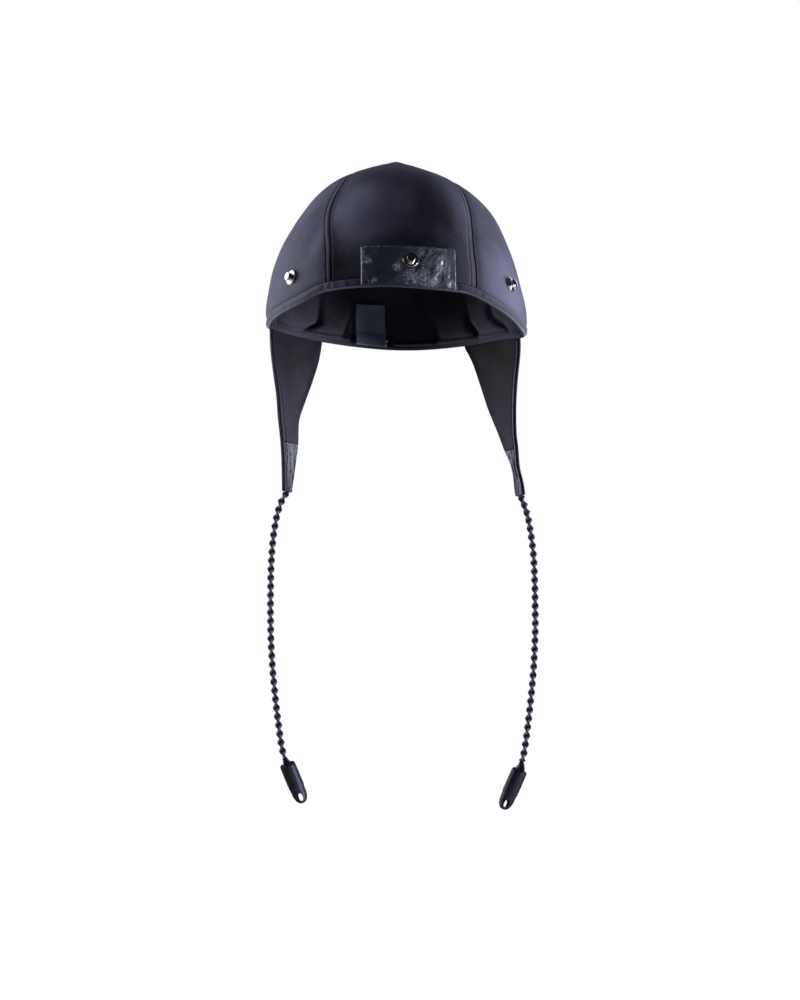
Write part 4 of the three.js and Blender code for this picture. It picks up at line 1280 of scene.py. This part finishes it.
def make_patch():
    across = np.linspace(PATCH["from"], PATCH["to"], PATCH_GRID[0])[:, None]
    rough = azimuth_across(across, PATCH["top"])
    up = np.linspace(0, 1, PATCH_GRID[1])[None, :]
    height = mix(rim_height(rough) + PATCH["bottom_rise"], PATCH["top"], up)
    azimuth = azimuth_across(across, height)
    level = level_of(height)
    base = on_crown(azimuth, level)
    from_left, from_right = across - PATCH["from"] + 0 * height, PATCH["to"] - across + 0 * height
    from_top, from_bottom = PATCH["top"] - height, height - height[:, :1]
    stud = on_crown(np.array(STUDS["front"]["azimuth"]), level_of(np.array(STUDS["front"]["height"])))
    calm = step(*STUD_CALM, np.linalg.norm(base - stud, axis=-1))
    proud = patch_relief(across, height, base) * calm
    proud = proud + PATCH_STRIP_RISE * (1 - step(*PATCH_STRIP, from_left))
    proud = proud - groove(from_right, *PATCH_FURROW)
    proud = proud + groove(from_top, *PATCH_RIDGE)
    edge = np.minimum(np.minimum(from_left, from_right), np.minimum(from_top, from_bottom))
    proud = np.clip(proud, -PATCH_MOST["in"], PATCH_MOST["out"]) * step(0, PATCH_EDGE_CALM, edge)
    roll = rolled(edge, PATCH_CLOTH / 2)
    outer = shell_point(azimuth, level, -(GAP + PATCH_CLOTH) - proud + roll)
    inner = shell_point(azimuth, level, -GAP - roll - np.maximum(proud, 0) * PATCH_INNER_SHARE)
    cloth = stacked(across, height)
    made = make_wall("front_patch_twill", outer, inner, cloth=cloth)
    return dress(made, TWILL_LOOK, "twill", "front_patch")


patch = make_patch()

# Care tag: blank satin ribbon inside the back
TAG = {"from": -179.4, "to": -164.2, "top": 32.5, "bottom_rise": 1.6, "width": 25.0, "length": 31.0}
TAG_GRID, TAG_ROLL, TAG_THIN = (60, 80), 0.3, 0.8
TAG_ON_HEM = {"depth": 5.3, "rise": 7, "settle": 6}
TAG_WAVE = {"rise": 0.12, "across": 5, "up": 3}
TAG_FOLD = (1.2, 0.5, 0.25)


def make_tag():
    u = np.linspace(0, 1, TAG_GRID[0])[:, None]
    v = np.linspace(0, 1, TAG_GRID[1])[None, :]
    azimuth = mix(TAG["from"], TAG["to"], u) + 0 * v
    height = mix(rim_height(azimuth) + TAG["bottom_rise"], TAG["top"], v)
    clear = step(0, TAG_ON_HEM["settle"], height - rim_height(azimuth) - TAG_ON_HEM["rise"])
    depth = mix(TAG_ON_HEM["depth"], SHELL + LINING_GAP + LINING_CLOTH + TAG_GAP, clear)
    across, up = u * TAG["width"] + 0 * v, v * TAG["length"] + 0 * u
    edge = np.minimum(np.minimum(across, TAG["width"] - across), np.minimum(up, TAG["length"] - up))
    roll = rolled(edge, TAG_ROLL)
    wave = TAG_WAVE["rise"] * np.sin(u * TAG_WAVE["across"] + v * TAG_WAVE["up"])
    outer = crown_point(azimuth, level_of(height), depth + roll)
    fold = groove(across, *TAG_FOLD)
    inner = crown_point(azimuth, level_of(height), depth + TAG_CLOTH * TAG_THIN + wave + fold - roll)
    cloth = stacked(across, up)
    made = make_wall("care_tag_satin", outer, inner, cloth=cloth)
    return dress(made, SATIN_LOOK, "satin", "care_tag")


tag = make_tag()

# Press studs
STUD_PROFILE = [
    (0, 0), (4.95, 0), (5.15, 0.12), (5.2, 0.4), (5.15, 0.7), (4.95, 0.88), (4.0, 0.93), (3.0, 0.97),
    (2.72, 1.1), (2.62, 1.6), (2.62, 2.4), (2.85, 2.8), (3.0, 3.15), (3.0, 3.5), (2.85, 3.78),
    (2.6, 3.9), (1.8, 3.98), (0, 4.0),
]


def make_stud(name, seat):
    level = level_of(np.array(seat["height"]))
    azimuth = np.array(seat["azimuth"])
    base = crown_point(azimuth, level, np.array(-seat["lift"]))
    profile = dense(STUD_PROFILE, 3)
    profile[:, 0] = np.maximum(profile[:, 0], 0)
    points, faces = lathe(profile, LATHE_SIDES)
    points = placed(points, base, crown_normal(azimuth, level))
    made = make_object(f"stud_{name}", points, faces)
    return dress(made, STUD_LOOK, "stud_chrome", f"snap_{name}")


for stud_name, stud_seat in STUDS.items():
    make_stud(stud_name, stud_seat)

# Ear flaps and sleeves
FLAP_GRID = (90, 150)
FLAP_JOIN = 0.12
SLEEVE_GRID = (110, 70)
OUTER_MOST, THINNEST, INNER_PROUD = 1.55, 0.1, 0.35
NEAR_HEM = 4.0


def flap_azimuth(name, height, u):
    rows = FLAP_ROWS[name]
    front = look_up(rows, "height", height, "front")
    rear = look_up(rows, "height", height, "rear")
    return mix(front, rear, u)


def flap_point(name, height, azimuth, depth):
    """A point at a depth under a flap's outer face. The azimuth is without its side's sign."""
    splay = look_up(FLAP_ROWS[name], "height", height, "splay")
    half_width = CROWN["half_width"][1] + splay
    half_depth = CROWN["half_width"][1] * DEPTH_RATIO + splay
    angle = np.radians(SIDES[name] * azimuth)
    east, south = np.sin(angle), -np.cos(angle)
    normal = unit(stacked(east / half_width, south / half_depth, 0.0))
    place = stacked(half_width * east, half_depth * south, height)
    return place - normal * np.asarray(depth)[..., None]


def flap_top(name, u):
    azimuth = mix(FLAP_ROWS[name]["front"][0], FLAP_ROWS[name]["rear"][0], u)
    return rim_height(SIDES[name] * azimuth) - FLAP_JOIN


def crowd(count, power):
    """Shares from 0 to 1 that lie close together near both ends."""
    t = np.linspace(-1, 1, count)
    return (np.sign(t) * (1 - (1 - np.abs(t)) ** power) + 1) / 2


def flap_width(name, height):
    ends = flap_azimuth(name, height, 0.0), flap_azimuth(name, height, 1.0)
    return np.radians(np.abs(ends[1] - ends[0])) * MEAN_RADIUS


HEM_UNDERSIDE = {
    "depth": (0.05, 0.5, 0.9, 1.5, 2.2, 3.5, 4.1), "rise": (2.0, 1.2, 0.7, 0.25, 0.0, 0.15, 0.5),
}


def flap_wall(name, title, u, height, outer, inner, look, slot, node):
    """A flap's or sleeve's solid from its faces' depths, mapped from its front edge. Near the hem
    each face rises into the hem's rounded underside."""
    azimuth = flap_azimuth(name, height, u)
    cloth = np.stack([u * flap_width(name, height), height + 0 * u], -1)
    near_hem = step(NEAR_HEM, 0.0, flap_top(name, u) - height)
    outer = np.minimum(outer, FLAP_WALL + OUTER_MOST)
    inner = np.clip(inner, outer + THINNEST, FLAP_WALL + FLAP_CLOTH + INNER_PROUD)
    faces = []
    for depth in (outer, inner):
        rise = np.interp(depth, HEM_UNDERSIDE["depth"], HEM_UNDERSIDE["rise"])
        faces.append(flap_point(name, height + rise * near_hem, azimuth, depth))
    return dress(make_wall(title, *faces, cloth=cloth), look, slot, node)


FLAP_FOOT_ROLL, FLAP_SIDE_CALM, FLAP_FOOT_CALM = 0.5, 6, 5
FLAP_RIPPLES = {"left": ((30, 34, 0.3), (33, 15, 0.1)), "right": ((32, 34, 0.3), (33, 15, 0.1))}
FLAP_HANG = {"rise": 0.3, "turns": 1.5, "start": 0.6, "over": (-55, -5)}
FURROW_OUTSIDE, FURROW_INSIDE, FLAP_SINK = (0.7, 0.35), (0.8, 0.7), 0.3


def make_flap(name):
    u = crowd(FLAP_GRID[0], 2.2)[:, None]
    v = np.linspace(0, 1, FLAP_GRID[1])[None, :]
    height = mix(SLEEVE_TOP[name] + FLAP_JOIN, flap_top(name, u), v)
    width = flap_width(name, height)
    from_front, from_rear = u * width, (1 - u) * width
    above = height - height[:, :1]
    roll = rolled(np.minimum(from_front, from_rear), FLAP_CLOTH / 2)
    roll = np.maximum(roll, rolled(above, FLAP_FOOT_ROLL))
    base = flap_point(name, height, flap_azimuth(name, height, u), FLAP_WALL + roll)
    soft = ripples(base, *FLAP_RIPPLES[name])
    turn = u * 2 * math.pi * FLAP_HANG["turns"] + FLAP_HANG["start"]
    hang = FLAP_HANG["rise"] * np.cos(turn) * step(*FLAP_HANG["over"], height)
    calm = step(0, FLAP_SIDE_CALM, np.minimum(from_front, from_rear)) * step(0, FLAP_FOOT_CALM, above)
    furrow = EDGE_BAND[name][1]
    outer = FLAP_WALL + roll + groove(from_front, furrow, *FURROW_OUTSIDE)
    inner = FLAP_WALL + FLAP_CLOTH - roll - groove(from_front, furrow, *FURROW_INSIDE)
    inner = inner + (soft + hang - FLAP_SINK) * calm
    return flap_wall(
        name, f"flap_{name}_cloth", u, height, outer, inner, FLAP_LOOKS[name], "shell_cloth", f"flap_{name}"
    )


PLEATS = {"left": 3, "right": 3.5}
SLEEVE_OVER = {"left": 0.95, "right": 0.7}
SLEEVE_ROLLS, SLEEVE_CALM = {"foot": 0.8, "top": 0.35}, 2.0
PLEAT = {"rise": 0.3, "drift": 1.2, "outside": 0.4, "sink": 0.2}
STREAKS = {"left": (40, 3.2, 0.16), "right": (42, 3.2, 0.16)}
STREAK_SCALE, SLEEVE_RIPPLE = (1, 1, 0.22), (44, 5, 0.08)
SLEEVE_FURROW = (0.7, 0.7)


def make_sleeve(name):
    u = crowd(SLEEVE_GRID[0], 2.0)[:, None]
    v = np.linspace(0, 1, SLEEVE_GRID[1])[None, :]
    height = mix(FLAP_ROWS[name]["height"][-1] - SLEEVE_OVER[name], SLEEVE_TOP[name], v) + 0 * u
    width = flap_width(name, height)
    from_front = u * width
    above = height - height[:, :1]
    below = height[:, -1:] - height
    roll = rolled(np.minimum(from_front, (1 - u) * width), FLAP_CLOTH / 2)
    ends = np.maximum(rolled(above, SLEEVE_ROLLS["foot"]), rolled(below, SLEEVE_ROLLS["top"]))
    roll = np.maximum(roll, ends)
    base = flap_point(name, height, flap_azimuth(name, height, u), FLAP_WALL + roll)
    pleat = np.cos(u * 2 * math.pi * PLEATS[name] + v * PLEAT["drift"]) * PLEAT["rise"]
    streaks = ripples(base * STREAK_SCALE, STREAKS[name]) + ripples(base, SLEEVE_RIPPLE)
    calm = step(0, SLEEVE_CALM, np.minimum(u, 1 - u) * width) * step(0, SLEEVE_CALM, above)
    furrow = groove(from_front, EDGE_BAND[name][1], *SLEEVE_FURROW)
    outer = FLAP_WALL + roll + PLEAT["outside"] * np.maximum(pleat, 0) * calm
    inner = FLAP_WALL + FLAP_CLOTH - roll - furrow + (pleat - PLEAT["sink"] + streaks) * calm
    return flap_wall(
        name, f"flap_tip_{name}_twill", u, height, outer, inner, SLEEVE_LOOKS[name], "twill",
        f"flap_tip_{name}",
    )


flaps = {name: make_flap(name) for name in SIDES}
sleeves = {name: make_sleeve(name) for name in SIDES}

# Piping along each flap's front edge, a row of stitches round each sleeve's top, and frayed ends
PIPING = {"radius": 0.5, "sides": 8, "steps": 160}
PIPING_SEAT = {"left": {"in": -0.25, "depth": 2.1}, "right": {"in": 0.8, "depth": 3.3}}
SLEEVE_STITCH = {"below": 1.1, "from": 0.2, "to": 0.93, "lift": 0.05}


def make_piping(name):
    height = np.linspace(FLAP_ROWS[name]["height"][-1] + 2, flap_top(name, 0.0) - 1, PIPING["steps"])
    seat = PIPING_SEAT[name]
    azimuth = flap_azimuth(name, height, 0.0) + np.degrees(seat["in"] / MEAN_RADIUS)
    line = flap_point(name, height, azimuth, seat["depth"] + 0 * height)
    points = tube_points(line, PIPING["radius"], PIPING["sides"])
    around = circle(PIPING["sides"]) * PIPING["radius"]
    cloth = stacked(around, height[:, None])
    faces = tube_faces(len(line), PIPING["sides"])
    made = make_object(f"piping_{name}", points, faces, cloth.reshape(-1, 2))
    return dress(made, PIPING_LOOKS[name], "shell_cloth")


def sleeve_line(name):
    u = np.linspace(SLEEVE_STITCH["from"], SLEEVE_STITCH["to"], 60)
    height = SLEEVE_TOP[name] - SLEEVE_STITCH["below"] + 0 * u
    azimuth = flap_azimuth(name, height, u)
    depth = FLAP_WALL + FLAP_CLOTH + SLEEVE_STITCH["lift"] + 0 * u
    points = flap_point(name, height, azimuth, depth)
    return points, unit(points - flap_point(name, height, azimuth, depth - 1))


for side_name in SIDES:
    make_piping(side_name)
stitches("sleeve_stitches", [sleeve_line(name) for name in SIDES], LIGHT_THREAD_LOOK)

FRAY = {
    "left": 16, "right": 5, "length": (0.8, 2.4), "radius": 0.09, "spread": 0.9, "steps": 6, "sides": 5,
}


def make_fray(name):
    """Short loose threads at the corners of a sleeve's end."""
    random = np.random.default_rng(SEED + 50 + SIDES[name])
    bottom = FLAP_ROWS[name]["height"][-1]
    parts = []
    faces = tube_faces(FRAY["steps"], FRAY["sides"])
    t = np.linspace(0, 1, FRAY["steps"])[:, None]
    for number in range(FRAY[name]):
        corner = number % 2
        u = np.array(corner * 0.86 + random.uniform(0.02, 0.12))
        start = flap_point(name, np.array(bottom + 0.5), flap_azimuth(name, bottom, u), np.array(2.0))
        aside = SIDES[name] * (1 - 2 * corner) * random.uniform(-0.2, 1.2)
        way = unit(np.array([aside, random.uniform(-FRAY["spread"], FRAY["spread"]) * 0.5, -1.0]))
        reach = random.uniform(*FRAY["length"])
        bend = random.normal(size=3) * 0.25
        line = start + way * reach * t + bend * t * t
        thick = FRAY["radius"] * (1 - 0.7 * t)
        parts.append((tube_points(line, thick[:, None], FRAY["sides"]), faces))
    return dress(make_object(f"fray_{name}", *joined(parts)), THREAD_LOOK, "twill")


for side_name in SIDES:
    make_fray(side_name)

# Surroundings: a pale floor far below, lamps that each light one group of pieces, a white surround
FLOOR_AT, FLOOR_HALF = -1.3, 3.0
floor_mesh = bpy.data.meshes.new("floor")
floor_corners = [(x, y, FLOOR_AT) for x, y in ((-1, -1), (1, -1), (1, 1), (-1, 1))]
floor_mesh.from_pydata([(x * FLOOR_HALF, y * FLOOR_HALF, z) for x, y, z in floor_corners], [], [(0, 1, 2, 3)])
floor = add_object("floor", floor_mesh)
floor_look = new_material("floor", (0.8, 0.8, 0.8), 0.9)
floor_mesh.materials.append(floor_look)

# Each lamp's name, place, size, power, spread in degrees and the group that it lights
LIGHTS = [
    ("soft_left", (-1.5, 0.75, 0.1), (0.6, 2.0), 29, 80, "soft"),
    ("soft_right", (1.6, 0.42, -0.1), (0.8, 1.7), 35, 80, "soft"),
    ("fill_left", (-1.6, -0.4, 0.6), (0.4, 0.8), 2.6, 80, "soft"),
    ("top", (-0.5, 0.1, 1.75), (0.6, 0.6), 1.0, 80, "soft"),
    ("low", (0.0, -1.9, -0.3), (0.8, 0.3), 0.12, 80, "soft"),
    ("gloss", (0.72, -1.35, 0.62), (0.35, 0.3), 0.8, 60, "patch"),
    ("hard_left", (-1.5, 0.7, 0.25), (1.5, 2.2), 16, 180, "hard"),
    ("hard_right", (1.5, -0.5, -0.45), (0.9, 1.4), 22, 180, "hard"),
    ("hard_back", (0.95, 1.25, 0.6), (0.6, 1.2), 2.5, 180, "hard"),
]
AIM = Vector((0, 0, 0.02))


def lit_group(title, members):
    """A group of pieces that a lamp lights alone."""
    group = bpy.data.collections.new(title)
    for member in members:
        group.objects.link(member)
    return group


hard_pieces = [o for o in bpy.context.scene.objects if o.name.startswith(("stud_", "toggle_body_"))]
soft_pieces = [o for o in bpy.context.scene.objects if o.type == "MESH" and o not in hard_pieces]
LIT = {
    "hard": lit_group("lit_hard", hard_pieces),
    "soft": lit_group("lit_soft", soft_pieces),
    "patch": lit_group("lit_patch", [patch]),
}
for light_name, at, size, power, spread, group in LIGHTS:
    lamp = bpy.data.lights.new(light_name, "AREA")
    lamp.shape = "RECTANGLE"
    lamp.size, lamp.size_y = size
    lamp.energy = power
    lamp.spread = math.radians(spread)
    lamp_object = add_object(light_name, lamp)
    lamp_object.location = at
    lamp_object.rotation_euler = (AIM - Vector(at)).to_track_quat("-Z", "Y").to_euler()
    lamp_object.light_linking.receiver_collection = LIT[group]

WORLD_LIGHT, WORLD_SHINE, WORLD_SEEN = 0.028, 0.008, 1.0
world = bpy.data.worlds.new("white_surround")
bpy.context.scene.world = world
world.use_nodes = True
sky = world.node_tree.nodes["Background"]
sky.inputs["Color"].default_value = (1, 1, 1, 1)
rays = world.node_tree.nodes.new("ShaderNodeLightPath")
seen = world.node_tree.nodes.new("ShaderNodeMapRange")
shine = world.node_tree.nodes.new("ShaderNodeMapRange")
shine.inputs[3].default_value = WORLD_LIGHT
shine.inputs[4].default_value = WORLD_SHINE
world.node_tree.links.new(rays.outputs["Is Glossy Ray"], shine.inputs[0])
world.node_tree.links.new(shine.outputs[0], seen.inputs[3])
seen.inputs[4].default_value = WORLD_SEEN
world.node_tree.links.new(rays.outputs["Is Camera Ray"], seen.inputs[0])
world.node_tree.links.new(seen.outputs[0], sky.inputs["Strength"])
bpy.context.scene.view_settings.view_transform = "Standard"
